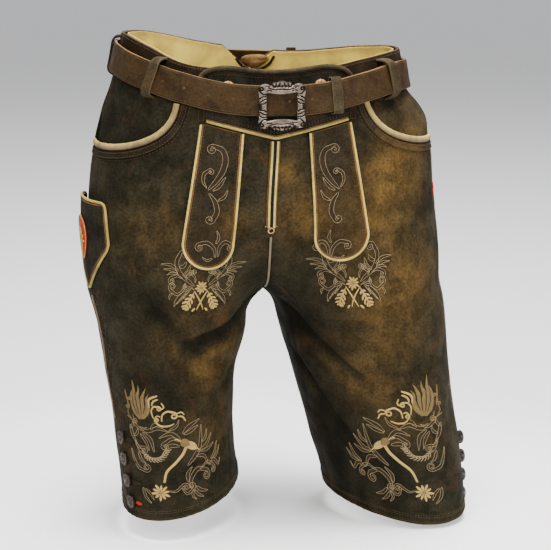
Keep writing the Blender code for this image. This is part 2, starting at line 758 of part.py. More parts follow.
def fork_line(heights, lift, radius):
    """Centres of a cord that lies in the valley of the middle seam."""
    points = []
    for height in heights:
        turns = [inner_turn(side, height, False) for side, _ in SIDES]
        spots = [shape(side, turn, height) for (side, _), turn in zip(SIDES, turns)]
        normals = [outward(side, turn, height) for (side, _), turn in zip(SIDES, turns)]
        out = (normals[0] + normals[1]).normalized()
        spread = min(out.dot(normals[0]), out.dot(normals[1]))
        middle = (spots[0] + spots[1]) / 2
        points.append(middle + out * (lift + radius / spread))
    return points


def make_seams():
    heights = steps(9, FLY_BOTTOM - 0.011, -0.240)
    cord("fork_piping", fork_line(heights, 3 * LIFT, CORD), CORD, CREAM)
    for side, word in SIDES:
        top = SHEATH_POINT - 0.008 if side == RIGHT else MOUTHS[side][1] - 0.016
        low = BUTTONS[side][0] + 0.018
        line = [skin(side, seam_turn(side, h), h, CORD + LIFT) for h in steps(12, top, low)]
        cord(f"side_piping_{word}", line, CORD, CREAM)


def seat(panels, point, out):
    """Where the flat facets of the panels lie under a point."""
    hits = []
    for panel in panels:
        corners = [vertex.co for vertex in panel.data.vertices]
        faces = [list(face.vertices) for face in panel.data.polygons]
        tree = BVHTree.FromPolygons(corners, faces)
        hit = tree.ray_cast(point + out * 0.02, -out)
        if hit[0]:
            hits.append((hit[3], hit[0]))
    return min(hits)[1]


def make_buttons():
    radius = BUTTON_RADIUS
    profile = ((0, 0.0042), (radius * 0.5, 0.0040), (radius * 0.86, 0.0034),
               (radius, 0.0024), (radius * 0.96, 0.0016), (radius * 0.3, 0.0012),
               (radius * 0.25, 0), (0, 0))
    for side, word in SIDES:
        panels = [PARTS.objects[f"{where}_panel_{word}"] for where in ("front", "back")]
        top, step, turn_top, turn_low = BUTTONS[side]
        for i in range(4):
            height = top - i * step
            turn = math.radians(mix(turn_top, turn_low, i / 3))
            out = outward(side, turn, height)
            spot = seat(panels, skin(side, turn, height), out) + out * LIFT
            turned_piece(f"leg_button_{word}_{i + 1}", profile, spot, out, PEWTER)


# ---------------------------------------------------------------- sheath pocket

def sheath_point(u, v, out):
    """u from the sheath's front edge to its back edge, v from its foot to its mouth."""
    first, point, last = SHEATH_TURNS
    turn = math.radians(mix(first + SHEATH_LEAN * v, last, u))
    middle = (point - first) / (last - first)
    side_share = abs(u - middle) / (middle if u < middle else 1 - middle)
    foot = mix(SHEATH_POINT, SHEATH_SHOULDER, side_share)
    height = mix(foot, SHEATH_TOP, v)
    crown = (1 - (2 * u - 1) ** 4) * ease(v, 0, 0.9)
    return skin(RIGHT, turn, height, LIFT + out + SHEATH_OPEN * crown)


def make_sheath():
    middle = (SHEATH_TURNS[1] - SHEATH_TURNS[0]) / (SHEATH_TURNS[2] - SHEATH_TURNS[0])
    columns = steps(4, 0, middle) + steps(4, middle, 1)[1:]
    columns.insert(1, 0.04)
    columns.insert(-1, 0.96)
    wall("sheath", sheath_point, columns, steps(6), 0, SHEATH_WALL, DARK)
    line = [(u, 1) for u in columns[:-1]] + [(1, v) for v in (1, 0.75, 0.5, 0.25)]
    line += [(u, 0) for u in columns[:0:-1]] + [(0, v) for v in (0, 0.25, 0.5, 0.75)]
    edge = [sheath_point(u, v, SHEATH_WALL / 2) for u, v in line]
    outs = [(sheath_point(u, v, 0.01) - sheath_point(u, v, 0)).normalized()
            for u, v in line]
    piping = beside(edge, outs, -(CORD + 2 * GAP), True)
    raised = CORD - SHEATH_WALL / 2
    cord("sheath_piping", [p + out * raised for p, out in zip(piping, outs)],
         CORD, CREAM, closed=True)

    def patch(u, v, out):
        half = 0.5 * math.sqrt(max(0.05, 1 - (2 * v - 1) ** 2))
        share = mix(0.54 - 0.36 * half, 0.54 + 0.36 * half, u)
        return sheath_point(share, mix(0.32, 0.80, v), out)
    wall("sheath_patch", patch, steps(4), round_steps(6),
         SHEATH_WALL + LIFT, SHEATH_WALL + LIFT + 0.0010, GOLD)


# ---------------------------------------------------------------- belt

def window_share(azimuth):
    """1 in the middle of the buckle's window, 0 from its sides outwards."""
    x = waist_shape(azimuth, BUCKLE_HEIGHT).x - BUCKLE_X
    return 1 - ease(abs(x), 0, WINDOW_WIDE / 2 - 0.001) if math.cos(azimuth) > 0 else 0.0


def belt_point(degrees, v, out):
    """The belt winds once round the waist, and its end passes over its start."""
    azimuth = math.radians(degrees)
    _, height, stand = waist(azimuth)
    over = (BELT_THICK + GAP) * ease(degrees, 338, 355)
    bulge = window_share(azimuth) if degrees > 300 else 0.0
    top = BELT_WIDE / 2 - 0.0045 * bulge
    height += mix(-BELT_WIDE / 2, top, v)
    stand += over + 0.0030 * bulge * (1 - (2 * v - 1) ** 2)
    return on_waist(azimuth, height, stand + out)


def make_belt():
    turns = steps(5, BELT_START, 30) + steps(52, 30, 336)[1:]
    turns += steps(22, 336, 390)[1:] + steps(7, 390, BELT_END)[1:]
    wall("belt", belt_point, turns, steps(3), 0, BELT_THICK, BROWN)

    azimuth = math.radians(KEEPER_AZIMUTH)
    _, middle, stand = waist(azimuth)
    half_deep = BELT_THICK + GAP / 2 + LIFT
    half_tall = BELT_WIDE / 2 + KEEPER_ROOM

    def keeper(u, v, out):
        c, s = math.cos(u), math.sin(u)
        deep = math.copysign(abs(c) ** 0.2, c) * (half_deep + out)
        tall = math.copysign(abs(s) ** 0.2, s) * (half_tall + out)
        turn = azimuth + (v - 0.5) * STRAP_WIDE / 0.13
        return on_waist(turn, middle + tall, stand + BELT_THICK + GAP / 2 + deep)
    wall("belt_keeper", keeper, steps(20, 0, 2 * math.pi)[:-1], (0, 1),
         0, KEEPER_THICK, DARK, ring=True)


def make_loops():
    """Straps from under the belt up over it to the waistband's rim."""
    for i, (degrees, room) in enumerate(LOOPS):
        azimuth = math.radians(degrees)
        rim, middle, stand = waist(azimuth)
        layers = 2 if BELT_START < degrees < BELT_END - 360 else 1
        reach = stand + layers * (BELT_THICK + GAP) + room
        on_facing = MOUTHS[RIGHT][0] < abs(degrees) < 90
        low = middle - BELT_WIDE / 2 - 0.010
        high = max(rim - 0.006, middle + BELT_WIDE / 2 + 0.0032)
        foot = STRAP_LIFT - (FACING_IN if on_facing else 0)
        line = [(low - 0.006, foot)]
        for share in round_steps(14):
            rise = (1 - abs(2 * share - 1) ** 5) ** 0.6
            line.append((mix(low, high, share), mix(foot, STRAP_LIFT, share) + reach * rise))
        line.append((high + 0.0022, STRAP_LIFT))
        centres = [on_waist(azimuth, height, out) for height, out in line]
        outs = []
        last = len(centres) - 1
        across = (on_waist(azimuth + 0.01, middle) - on_waist(azimuth - 0.01, middle))
        for k in range(last + 1):
            along = centres[min(k + 1, last)] - centres[max(k - 1, 0)]
            outs.append(across.cross(along).normalized())
        strip(f"belt_loop_{i + 1}", centres, outs,
              box_profile(STRAP_WIDE, 0, STRAP_THICK), DARK)


def make_buckle():
    """A flat frame with a waved outline and a window, standing before the belt."""
    curve = bpy.data.curves.new("buckle", "CURVE")
    curve.dimensions = "2D"
    curve.fill_mode = "BOTH"
    curve.extrude = BUCKLE_THICK / 2
    outer, window = [], []
    count = 64
    for i in range(count):
        angle = 2 * math.pi * i / count
        c, s = math.cos(angle), math.sin(angle)
        square = (abs(c) ** 5 + abs(s) ** 5) ** (-1 / 5)
        wave = 1 + 0.03 * math.cos(4 * angle + math.pi) - 0.02 * math.cos(12 * angle)
        crest = 0.0036 * (abs(s) > 0.93) * (abs(s) - 0.93) / 0.07
        outer.append((BUCKLE_WIDE / 2 * c * square * wave,
                      BUCKLE_TALL / 2 * s * square * wave + math.copysign(crest, s)))
    for i in range(28):
        angle = 2 * math.pi * i / 28
        c, s = math.cos(angle), math.sin(angle)
        square = (abs(c) ** 9 + abs(s) ** 9) ** (-1 / 9)
        window.append((WINDOW_WIDE / 2 * c * square, WINDOW_TALL / 2 * s * square))
    for points in (outer, window):
        spline = curve.splines.new("POLY")
        spline.points.add(len(points) - 1)
        spline.use_cyclic_u = True
        for spot, (x, y) in zip(spline.points, points):
            spot.co = (x, y, 0, 1)
    front = waist_shape(0, BUCKLE_HEIGHT).y
    place = Matrix.Translation((BUCKLE_X, front - BUCKLE_OUT - BUCKLE_THICK / 2,
                                BUCKLE_HEIGHT)) @ Matrix.Rotation(QUARTER, 4, "X")
    add_object("buckle", curve, PEWTER, place)


# ---------------------------------------------------------------- back of the waist

def make_gusset():
    """The tan wedge in the back notch, inside the lining, and the thong round it."""
    face = -LINING_IN - LINING_THICK - GAP
    wide, deep, tall = GUSSET_SIZE
    middle = math.pi - math.radians(GUSSET_OFF)
    place = on_waist(middle, GUSSET_HEIGHT, face - deep)
    data = bpy.data.meshes.new("gusset")
    mesh = bmesh.new()
    bmesh.ops.create_uvsphere(mesh, u_segments=16, v_segments=8, radius=1)
    for vertex in mesh.verts:
        x, y, z = vertex.co
        narrow = 1 - 0.35 * max(0.0, -z)
        vertex.co = (x * wide * narrow, y * deep, z * tall)
    mesh.to_mesh(data)
    mesh.free()
    data.shade_smooth()
    add_object("gusset", data, TAN, Matrix.Translation(place))
    line = [on_waist(middle + math.radians(off), GUSSET_HEIGHT + height, face - THONG)
            for off, height in THONG_LINE]
    cord("gusset_thong", line, THONG, DARK)


# ---------------------------------------------------------------- the whole thing

for old in list(bpy.data.objects):
    bpy.data.objects.remove(old, do_unlink=True)

PARTS = collection("lederhosen")

OLIVE = finish("olive_suede", (0.075, 0.062, 0.030))
DARK = finish("dark_suede", (0.030, 0.032, 0.022))
BROWN = finish("brown_leather", (0.085, 0.050, 0.026))
CREAM = finish("cream_leather", (0.62, 0.55, 0.38))
LINEN = finish("cream_lining", (0.60, 0.50, 0.26))
TAN = finish("tan_leather", (0.30, 0.17, 0.09))
HORN = finish("horn", (0.45, 0.25, 0.10), 0.4)
PEWTER = finish("pewter", (0.40, 0.37, 0.33), 0.35, 1.0)
BRASS = finish("brass", (0.60, 0.42, 0.18), 0.35, 1.0)
GOLD = finish("patch_cloth", (0.45, 0.06, 0.04))

make_panels()
make_pockets()
make_waistband()
make_bib()
make_tabs()
make_fly()
make_seams()
make_buttons()
make_sheath()
make_belt()
make_loops()
make_buckle()
make_gusset()
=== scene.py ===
"""Lederhosen with a belt: the suede, seams, stitching, embroidery, metal and stage.

Metres, +Z up, front towards -Y, the wearer's left towards +X.  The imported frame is
loaded first; every piece is then laid out on the same leather surface as the frame.
"""

import functools
import math

import bpy
import numpy as np
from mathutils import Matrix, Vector


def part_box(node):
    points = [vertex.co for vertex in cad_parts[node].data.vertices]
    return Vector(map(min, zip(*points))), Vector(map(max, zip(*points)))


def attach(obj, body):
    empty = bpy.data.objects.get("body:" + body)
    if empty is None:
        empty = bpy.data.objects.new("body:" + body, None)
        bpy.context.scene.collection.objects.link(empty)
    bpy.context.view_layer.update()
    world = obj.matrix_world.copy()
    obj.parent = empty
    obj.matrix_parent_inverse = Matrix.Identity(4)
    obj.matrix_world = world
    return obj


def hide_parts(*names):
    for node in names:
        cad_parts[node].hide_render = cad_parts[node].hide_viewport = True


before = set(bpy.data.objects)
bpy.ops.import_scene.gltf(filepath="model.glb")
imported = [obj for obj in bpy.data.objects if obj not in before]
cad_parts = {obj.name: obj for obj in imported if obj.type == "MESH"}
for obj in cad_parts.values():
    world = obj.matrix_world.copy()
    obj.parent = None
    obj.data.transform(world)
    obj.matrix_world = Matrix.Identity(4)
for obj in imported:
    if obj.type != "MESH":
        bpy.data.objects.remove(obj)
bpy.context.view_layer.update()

bl_info = {
    "name": "Lederhosen",
    "version": (1, 0, 0),
    "blender": (4, 5, 0),
    "location": "View3D > Sidebar > Lederhosen",
    "description": "Builds suede breeches with bib, belt, stitching and embroidery",
    "category": "Add Mesh",
}

# ---------------------------------------------------------------- sizes of the pattern

LEATHER, GAP, LIFT = 0.0018, 0.0003, 0.0005
SEAM_GAP = 0.0008     # left open where two panels or a panel and the band meet
LEG_RADIUS = 0.10     # length on a leg for one radian of turn
MERGED = 0.000004     # points closer than this become one
RIGHT, LEFT = -1, 1
SIDES = ((RIGHT, "right"), (LEFT, "left"))
QUARTER = math.pi / 2

# Torso outline: height, half width right and left, depth front and back.
TORSO = (
    (-0.290, 0.1890, 0.2050, 0.118, 0.118), (-0.250, 0.1968, 0.2036, 0.124, 0.128),
    (-0.205, 0.1985, 0.2014, 0.129, 0.138), (-0.165, 0.1965, 0.1986, 0.131, 0.142),
    (-0.130, 0.1940, 0.1964, 0.131, 0.141), (-0.095, 0.1895, 0.1936, 0.129, 0.136),
    (-0.060, 0.1820, 0.1862, 0.126, 0.129), (-0.045, 0.1778, 0.1788, 0.124, 0.125),
    (-0.030, 0.1722, 0.1672, 0.122, 0.121), (0.000, 0.1630, 0.1600, 0.118, 0.114),
    (0.045, 0.1540, 0.1530, 0.113, 0.109),
)
TORSO_POWER = 2.25

# Legs: height, centre x and y, half width, half depth, lean, turn of the side seam.
LEGS = {
    RIGHT: (
        (-0.560, -0.0925, 0.000, 0.0700, 0.0970, 0.28, 42),
        (-0.490, -0.0937, 0.000, 0.0700, 0.0970, 0.28, 47),
        (-0.440, -0.0990, 0.000, 0.0698, 0.0985, 0.24, 52.3),
        (-0.390, -0.1023, 0.001, 0.0714, 0.1010, 0.18, 57.8),
        (-0.345, -0.1045, 0.002, 0.0760, 0.1060, 0.12, 62),
        (-0.300, -0.1020, 0.003, 0.0848, 0.1120, 0.06, 65),
        (-0.278, -0.1036, 0.003, 0.0877, 0.1150, 0.03, 66.5),
        (-0.252, -0.1010, 0.003, 0.0975, 0.1180, 0.00, 68.5),
        (-0.225, -0.0995, 0.003, 0.1015, 0.1200, 0.00, 71),
        (-0.150, -0.0980, 0.003, 0.1030, 0.1240, 0.00, 80.5),
        (-0.095, -0.0950, 0.003, 0.1000, 0.1210, 0.00, 88),
        (0.050, -0.0800, 0.003, 0.0900, 0.1100, 0.00, 88),
    ),
    LEFT: (
        (-0.560, 0.1590, -0.004, 0.0780, 0.0900, 0.30, 79),
        (-0.490, 0.1552, -0.003, 0.0784, 0.0910, 0.30, 80),
        (-0.440, 0.1452, -0.002, 0.0831, 0.0945, 0.26, 81),
        (-0.390, 0.1350, 0.000, 0.0862, 0.0990, 0.20, 82),
        (-0.345, 0.1262, 0.002, 0.0902, 0.1050, 0.13, 84),
        (-0.300, 0.1179, 0.003, 0.0955, 0.1110, 0.06, 86),
        (-0.278, 0.1142, 0.003, 0.0973, 0.1150, 0.03, 88),
        (-0.252, 0.1047, 0.003, 0.1018, 0.1180, 0.00, 89),
        (-0.225, 0.1025, 0.003, 0.1045, 0.1200, 0.00, 90),
        (-0.150, 0.1000, 0.003, 0.1050, 0.1240, 0.00, 89),
        (-0.095, 0.0960, 0.003, 0.1010, 0.1210, 0.00, 88),
        (0.050, 0.0800, 0.003, 0.0900, 0.1100, 0.00, 88),
    ),
}
FORK_LOW, FORK_HIGH, FORK_ROW, FLY_SHIFT = -0.266, -0.135, 0.515, -0.005

# Hems: centre x, height there, rise along X and Y, how strongly the outer side curls.
HEMS = {RIGHT: (-0.0950, -0.4908, 0.113, 0.089, 0.0),
        LEFT: (0.1580, -0.5125, -0.133, 0.077, 1.6)}

# Waist: azimuth, rim height, height of the belt's middle, belt's distance outwards.
WAIST = (
    (-180, 0.0030, -0.0165, 0.0030), (-150, 0.0150, -0.0110, 0.0030),
    (-120, 0.0320, 0.0050, 0.0030), (-95, 0.0385, 0.0115, 0.0032),
    (-80, 0.0405, 0.0118, 0.0046), (-65, 0.0345, 0.0055, 0.0068),
    (-45, 0.0180, -0.0075, 0.0070), (-25, 0.0125, -0.0180, 0.0070),
    (0, 0.0080, -0.0215, 0.0070), (25, 0.0110, -0.0198, 0.0070),
    (45, 0.0175, -0.0120, 0.0070), (60, 0.0205, -0.0070, 0.0052),
    (90, 0.0178, -0.0120, 0.0024), (120, 0.0095, -0.0150, 0.0026),
    (150, 0.0010, -0.0185, 0.0030), (180, 0.0030, -0.0165, 0.0030),
)
BAND_TALL, BAND_THICK = 0.040, 0.0036
LINING_IN, LINING_THICK, LINING_TALL = 0.0058, 0.0010, 0.095
NOTCH_WIDE, NOTCH_DEEP = 15.0, 0.022
MOUTHS = {RIGHT: (44.5, -0.0865), LEFT: (44.5, -0.0860)}
MOUTH_POWER = 2.5
FACING_IN, FACING_THICK = 0.0030, 0.0014
ROLL_WIDE, ROLL_THICK, POCKET_BAND = 0.0082, 0.0042, 0.0080
CORD, CORD_SEEN, PIPING = 0.0017, 0.00148, 0.0013

BIB_TOP = (
    (-0.0810, -0.0050), (-0.0795, 0.0020), (-0.0740, 0.0085), (-0.0640, 0.0125),
    (-0.0480, 0.0138), (-0.0220, 0.0105), (0.0030, 0.0090), (0.0280, 0.0105),
    (0.0560, 0.0132), (0.0700, 0.0112), (0.0800, 0.0065), (0.0860, -0.0010),
    (0.0875, -0.0060),
)
V_TIP = -0.0625
V_ENDS = {RIGHT: (0.0740, -0.0436), LEFT: (0.0810, -0.0450)}
WELT, BIB_THICK, CORNER_WIDE, CORNER_TALL = 0.0028, 0.0016, 0.0060, 0.0130
BIB_BUTTON_X, BIB_BUTTON_HEIGHT = 0.0505, -0.0075
TABS = {RIGHT: (0.0340, 0.0790, 0.0465, 0.1010, -0.1780, -0.2065),
        LEFT: (0.0375, 0.0830, 0.0440, 0.1040, -0.1720, -0.2010)}
TAB_THICK = 0.0015
FLY_TOP, FLY_BOTTOM, FLY_CORD, FLY_HALF = -0.0655, -0.1600, 0.0016, 0.0030
RING_RADIUS, RING_WIRE = 0.0032, 0.0008
SHEATH_TURNS, SHEATH_LEAN = (48, 72, 96), 6
SHEATH_TOP, SHEATH_SHOULDER, SHEATH_POINT = -0.1450, -0.1900, -0.2440
SHEATH_OPEN, SHEATH_WALL = 0.0070, 0.0020
# The badge's middle and half size, in shares of the sheath's width and height.
BADGE_U, BADGE_V, BADGE_HALF_U, BADGE_HALF_V = 0.54, 0.56, 0.18, 0.24
BUTTONS = {RIGHT: (-0.4125, 0.0245, 47, 42), LEFT: (-0.4390, 0.0235, 77, 82)}
BELT_WIDE, BELT_THICK = 0.0330, 0.0035
BELT_START, BELT_END = 7.5, 423
BELT_HOLES = (308.5, 317.5, 328.0, 339.0, 366.5, 377.5)
BUCKLE_X, BUCKLE_HEIGHT = 0.0052, -0.0255
BUCKLE_THICK, BUCKLE_OUT, WINDOW_WIDE, WINDOW_TALL = 0.0030, 0.0166, 0.0330, 0.0310
KEEPER_AZIMUTH, KEEPER_THICK, KEEPER_ROOM = 29.5, 0.0014, 0.0025
STRAP_WIDE, STRAP_THICK = 0.0110, 0.0018
# Loops: azimuth in degrees, room over the belt, degrees that the top leans forward.
LOOPS = ((-56.5, 0.0036, 4.0), (-98, 0.0024, 0), (-155, 0.0032, 0), (155, 0.0032, 0),
         (105, 0.0024, 0), (58, 0.0034, -3.0))
GUSSET_SIZE, GUSSET_OFF, GUSSET_HEIGHT = (0.0160, 0.0038, 0.0085), 4.0, -0.0087
THONG = 0.0015
THONG_LINE = ((-11.5, 0.0045), (-9, -0.0035), (-6, -0.0085), (-2.5, -0.0112),
              (1, -0.0115), (5, -0.0095), (8.5, -0.0040), (11, 0.0030))

# Folds of each leg: turn and height of each end, width, depth (a ridge when negative)
# and, where the leather hangs over its fold, how much narrower the upper flank is.
FOLDS = {
    RIGHT: (
        (-58, -0.238, -36, -0.281, 0.018, 0.0095, 0.22),
        (-40, -0.279, -2, -0.292, 0.016, 0.0085, 0.22),
        (-52, -0.222, -12, -0.266, 0.014, -0.0040),
        (22, -0.238, -14, -0.316, 0.010, 0.0044, 0.6),
        (-14, -0.316, -44, -0.332, 0.010, 0.0030), (8, -0.262, -8, -0.300, 0.010, -0.0016),
        (-46, -0.300, -12, -0.306, 0.008, -0.0016), (-60, -0.330, -30, -0.372, 0.011, 0.0026),
        (-22, -0.345, 8, -0.382, 0.013, 0.0024), (20, -0.300, 48, -0.420, 0.016, 0.0028),
        (-35, -0.205, -8, -0.235, 0.008, 0.0010), (5, -0.345, 40, -0.335, 0.009, 0.0010),
        (150, -0.240, 215, -0.300, 0.014, 0.0050), (140, -0.330, 200, -0.380, 0.015, 0.0035),
        (160, -0.268, 222, -0.335, 0.006, 0.0022),
    ),
    LEFT: (
        (-64, -0.258, -40, -0.299, 0.011, 0.0052, 0.5),
        (-43, -0.295, -6, -0.358, 0.010, 0.0052, 0.5),
        (-38, -0.272, -2, -0.330, 0.012, -0.0026), (-52, -0.325, -14, -0.372, 0.010, -0.0024),
        (-76, -0.326, -52, -0.378, 0.010, 0.0044, 0.6),
        (-55, -0.374, -30, -0.432, 0.011, 0.0042, 0.6),
        (-46, -0.385, -22, -0.420, 0.009, -0.0018), (-70, -0.402, -46, -0.458, 0.010, 0.0028),
        (4, -0.298, 22, -0.336, 0.0028, 0.0011), (12, -0.318, 27, -0.352, 0.0026, 0.0010),
        (20, -0.335, 58, -0.352, 0.010, 0.0014), (22, -0.392, 6, -0.398, 0.009, 0.0022, 0.6),
        (45, -0.395, 78, -0.372, 0.013, 0.0040), (-53, -0.246, -84, -0.412, 0.0016, 0.0013),
        (-30, -0.200, -6, -0.236, 0.008, 0.0010), (150, -0.235, 214, -0.298, 0.014, 0.0050),
        (145, -0.320, 205, -0.392, 0.015, 0.0035), (160, -0.262, 220, -0.330, 0.006, 0.0022),
    ),
}


# ---------------------------------------------------------------- the leather surface

def mix(a, b, share):
    return a + (b - a) * share


def ease(value, low, high):
    """Smooth step from 0 below low to 1 above high."""
    share = np.clip((np.asarray(value, float) - low) / (high - low), 0, 1)
    return share * share * (3 - 2 * share)


def as_arrays(*values):
    """The values as arrays of one shape."""
    return np.broadcast_arrays(*(np.asarray(value, float) for value in values))


def section(table, height):
    """The columns of a table, read smoothly at these heights."""
    rows = np.asarray(table, float)
    slopes = np.gradient(rows, rows[:, 0], axis=0)
    height = np.clip(np.asarray(height, float), rows[0, 0], rows[-1, 0] - 1e-9)
    i = np.clip(np.searchsorted(rows[:, 0], height, side="right") - 1, 0, len(rows) - 2)
    step = (rows[i + 1, 0] - rows[i, 0])[..., None]
    t = (height - rows[i, 0])[..., None] / step
    a, b = rows[i][..., 1:], rows[i + 1][..., 1:]
    rise_a, rise_b = slopes[i][..., 1:] * step, slopes[i + 1][..., 1:] * step
    read = a + t * (rise_a + t * (3 * (b - a) - 2 * rise_a - rise_b
                                  + t * (2 * (a - b) + rise_a + rise_b)))
    return np.moveaxis(read, -1, 0)


def torso_reach(x, y, dx, dy, height):
    """Distance from (x, y) along (dx, dy) to the torso outline."""
    right, left, front, back = section(TORSO, height)
    reach = 0.5 + 0 * (x + dx)
    for _ in range(9):
        px, py = x + dx * reach, y + dy * reach
        wide, deep = np.where(px > 0, left, right), np.where(py > 0, back, front)
        share_x, share_y = np.abs(px) / wide, np.abs(py) / deep
        over = share_x ** TORSO_POWER + share_y ** TORSO_POWER - 1
        rise = TORSO_POWER * (share_x ** (TORSO_POWER - 1) * dx * np.sign(px) / wide
                              + share_y ** (TORSO_POWER - 1) * dy * np.sign(py) / deep)
        reach = reach - over / rise
    return reach


def fold(side, turn, height):
    """Depth of the folds at a point of the leather."""
    depth = 0.0
    px, py = turn * LEG_RADIUS, height
    for turn_a, low_a, turn_b, low_b, wide, deep, *flank in FOLDS[side]:
        ax, bx = math.radians(turn_a) * LEG_RADIUS, math.radians(turn_b) * LEG_RADIUS
        length = math.hypot(bx - ax, low_b - low_a)
        along = ((px - ax) * (bx - ax) + (py - low_a) * (low_b - low_a)) / length ** 2
        across = ((px - ax) * (low_b - low_a) - (py - low_a) * (bx - ax)) / length
        upper = across * (1 if bx > ax else -1) < 0
        fade = ease(along, -0.15, 0.3) * (1 - ease(along, 0.65, 1.15))
        wide = np.where(upper, wide * (*flank, 1.0)[0], wide)
        depth = depth + deep * fade * np.exp(-(across / wide) ** 2)
    return depth


def crease(side, turn, height):
    """How far the leather lies in a crease, above 0, or on the swell below one."""
    here = fold(side, turn, height) / 0.006
    return np.clip(here, 0, 1) ** 1.5 - 0.6 * np.clip(
        fold(side, turn, height + 0.020) / 0.008, 0, 1) * np.clip(1 - here * 2, 0, 1)


def shape(side, turn, height):
    """Outer face of the leather, seen from a leg's centre."""
    turn, height = as_arrays(turn, height)
    x, y, wide, deep, lean, _ = section(LEGS[side], height)
    dx, dy = side * np.sin(turn), -np.cos(turn)
    tilt = -side * lean
    square = (dx / wide) ** 2 - 2 * tilt * dx * dy / (wide * deep) + (dy / deep) ** 2
    reach = np.sqrt((1 - tilt * tilt) / square)
    share = ease(height, FORK_LOW, FORK_HIGH)
    reach = mix(reach, torso_reach(x, y, dx, dy, height), share) - fold(side, turn, height)
    return np.stack([x + dx * reach, y + dy * reach, height], -1)


def unit(vectors):
    return vectors / (np.linalg.norm(vectors, axis=-1, keepdims=True) + 1e-12)


def outward(side, turn, height):
    along = shape(side, turn + 0.02, height) - shape(side, turn - 0.02, height)
    up = shape(side, turn, height + 0.002) - shape(side, turn, height - 0.002)
    return unit(np.cross(along, up)) * side


def middle_x(height):
    """The middle seam's x."""
    return FLY_SHIFT * ease(-height, 0.05, 0.15) * (1 - 0.7 * ease(-height, 0.17, 0.25))


def skin(side, turn, height, out=0.0):
    """A point off the leather, kept on its own side of the fork."""
    out = np.asarray(out, float)[..., None]
    point = shape(side, turn, height) + outward(side, turn, height) * out
    middle = middle_x(height)
    point[..., 0] = middle + side * np.maximum(side * (point[..., 0] - middle), GAP / 2)
    return point


def find(test, low, high):
    """Where a rising test turns positive, for each element."""
    for _ in range(22):
        middle = (low + high) / 2
        past = test(middle) > 0
        low, high = np.where(past, low, middle), np.where(past, middle, high)
    return (low + high) / 2


def front_turn(side, x, height):
    x, height = as_arrays(x, height)
    return find(lambda t: shape(side, t, height)[..., 0] * side - np.abs(x),
                np.full(x.shape, -QUARTER), np.full(x.shape, QUARTER))


def on_front(x, height, out=0.0):
    """Points in front, by their x and height."""
    x, height = as_arrays(x, height)
    out = np.broadcast_to(np.asarray(out, float), x.shape)[..., None]
    found = np.zeros(x.shape + (3,))
    for side, _ in SIDES:
        mine = (x >= 0) if side == LEFT else (x < 0)
        if mine.any():
            turn = front_turn(side, x[mine], height[mine])
            found[mine] = (shape(side, turn, height[mine])
                           + outward(side, turn, height[mine]) * out[mine])
    return found


def waist_shape(azimuth, height):
    azimuth, height = as_arrays(azimuth, height)
    dx, dy = np.sin(azimuth), -np.cos(azimuth)
    reach = torso_reach(0 * dx, 0 * dx, dx, dy, height)
    return np.stack([dx * reach, dy * reach, height], -1)


def on_waist(azimuth, height, out=0.0):
    """Points round the torso: azimuth 0 in front, a quarter turn at the left side."""
    along = waist_shape(azimuth + 0.02, height) - waist_shape(azimuth - 0.02, height)
    up = waist_shape(azimuth, height + 0.004) - waist_shape(azimuth, height - 0.004)
    out = np.asarray(out, float)[..., None]
    return waist_shape(azimuth, height) + unit(np.cross(along, up)) * out


def waist(azimuth):
    """Heights of the rim and of the belt, and how far out the belt is."""
    return section(WAIST, (np.degrees(azimuth) + 180) % 360 - 180)


def waist_seam(azimuth):
    return waist(azimuth)[0] - BAND_TALL


def notch(azimuth):
    """Depth of the V at the back of the waistband."""
    off = (180 - np.abs(np.degrees(azimuth))) / NOTCH_WIDE
    return NOTCH_DEEP * np.maximum(0.0, 1 - off)


def seam_turn(side, height):
    return np.radians(section(LEGS[side], height)[5])


def mouth_height(side, azimuth):
    """Upper edge of the front panel along the pocket mouth."""
    start, low = MOUTHS[side]
    top = waist_seam(math.radians(start) * side)
    off = (90 - np.abs(np.degrees(azimuth))) / (90 - start)
    lift = (1 - np.clip(off, 0, 1) ** MOUTH_POWER) ** (1 / MOUTH_POWER)
    return np.where(off >= 1, 1.0, top - (top - low) * lift)


@functools.lru_cache(maxsize=None)
def inner_turns(side, behind):
    """Turns of a panel's inner edge at many heights, closest together at the fork."""
    fork = fork_height(side)
    height = np.concatenate([fork - np.linspace(0.55, 0, 500) ** 2,
                             fork + np.linspace(0, 0.57, 500)[1:] ** 2])
    inseam = 3 * QUARTER if behind else -QUARTER
    front = math.pi if behind else 0.0
    edge = middle_x(height) * side + GAP / 2
    here = shape(side, inseam, height)[..., 0] * side
    if behind:
        turn = find(lambda t: edge - shape(side, t, height)[..., 0] * side,
                    np.full(height.shape, front), np.full(height.shape, inseam))
    else:
        turn = find(lambda t: shape(side, t, height)[..., 0] * side - edge,
                    np.full(height.shape, inseam), np.full(height.shape, front))
    return height, np.where(here >= edge, inseam - math.copysign(GAP / 2 / 0.09, inseam),
                            turn)


def inner_turn(side, height, behind):
    """Turn of a panel's inner edge: the inseam, or above the fork the middle seam."""
    return np.interp(height, *inner_turns(side, behind))


def hem_height(side, turn, height):
    x, level, rise_x, rise_y, curl = HEMS[side]
    point = shape(side, turn, height)
    off = point[..., 0] - x
    return (level + rise_x * off + rise_y * point[..., 1]
            + curl * np.maximum(side * off, 0) ** 2)


def turn_at(side, behind, u, height):
    """Turn of a panel's point: u is 0 at the side seam and 1 at the inner seam."""
    inseam = 3 * QUARTER if behind else -QUARTER
    away = SEAM_GAP / 2 / LEG_RADIUS * (1 if behind else -1)
    pull = inner_turn(side, height, behind) - inseam
    return mix(seam_turn(side, height) + away, inseam, u) + pull * u * u


def azimuth_of(point):
    return np.arctan2(point[..., 0], -point[..., 1])


@functools.lru_cache(maxsize=None)
def fork_height(side):
    """Where a leg's inner side reaches the middle seam."""
    return float(find(lambda h: middle_x(h) * side - shape(side, -QUARTER, h)[..., 0] * side
                      + GAP / 2, np.array(FORK_LOW - 0.03), np.array(FORK_HIGH)))


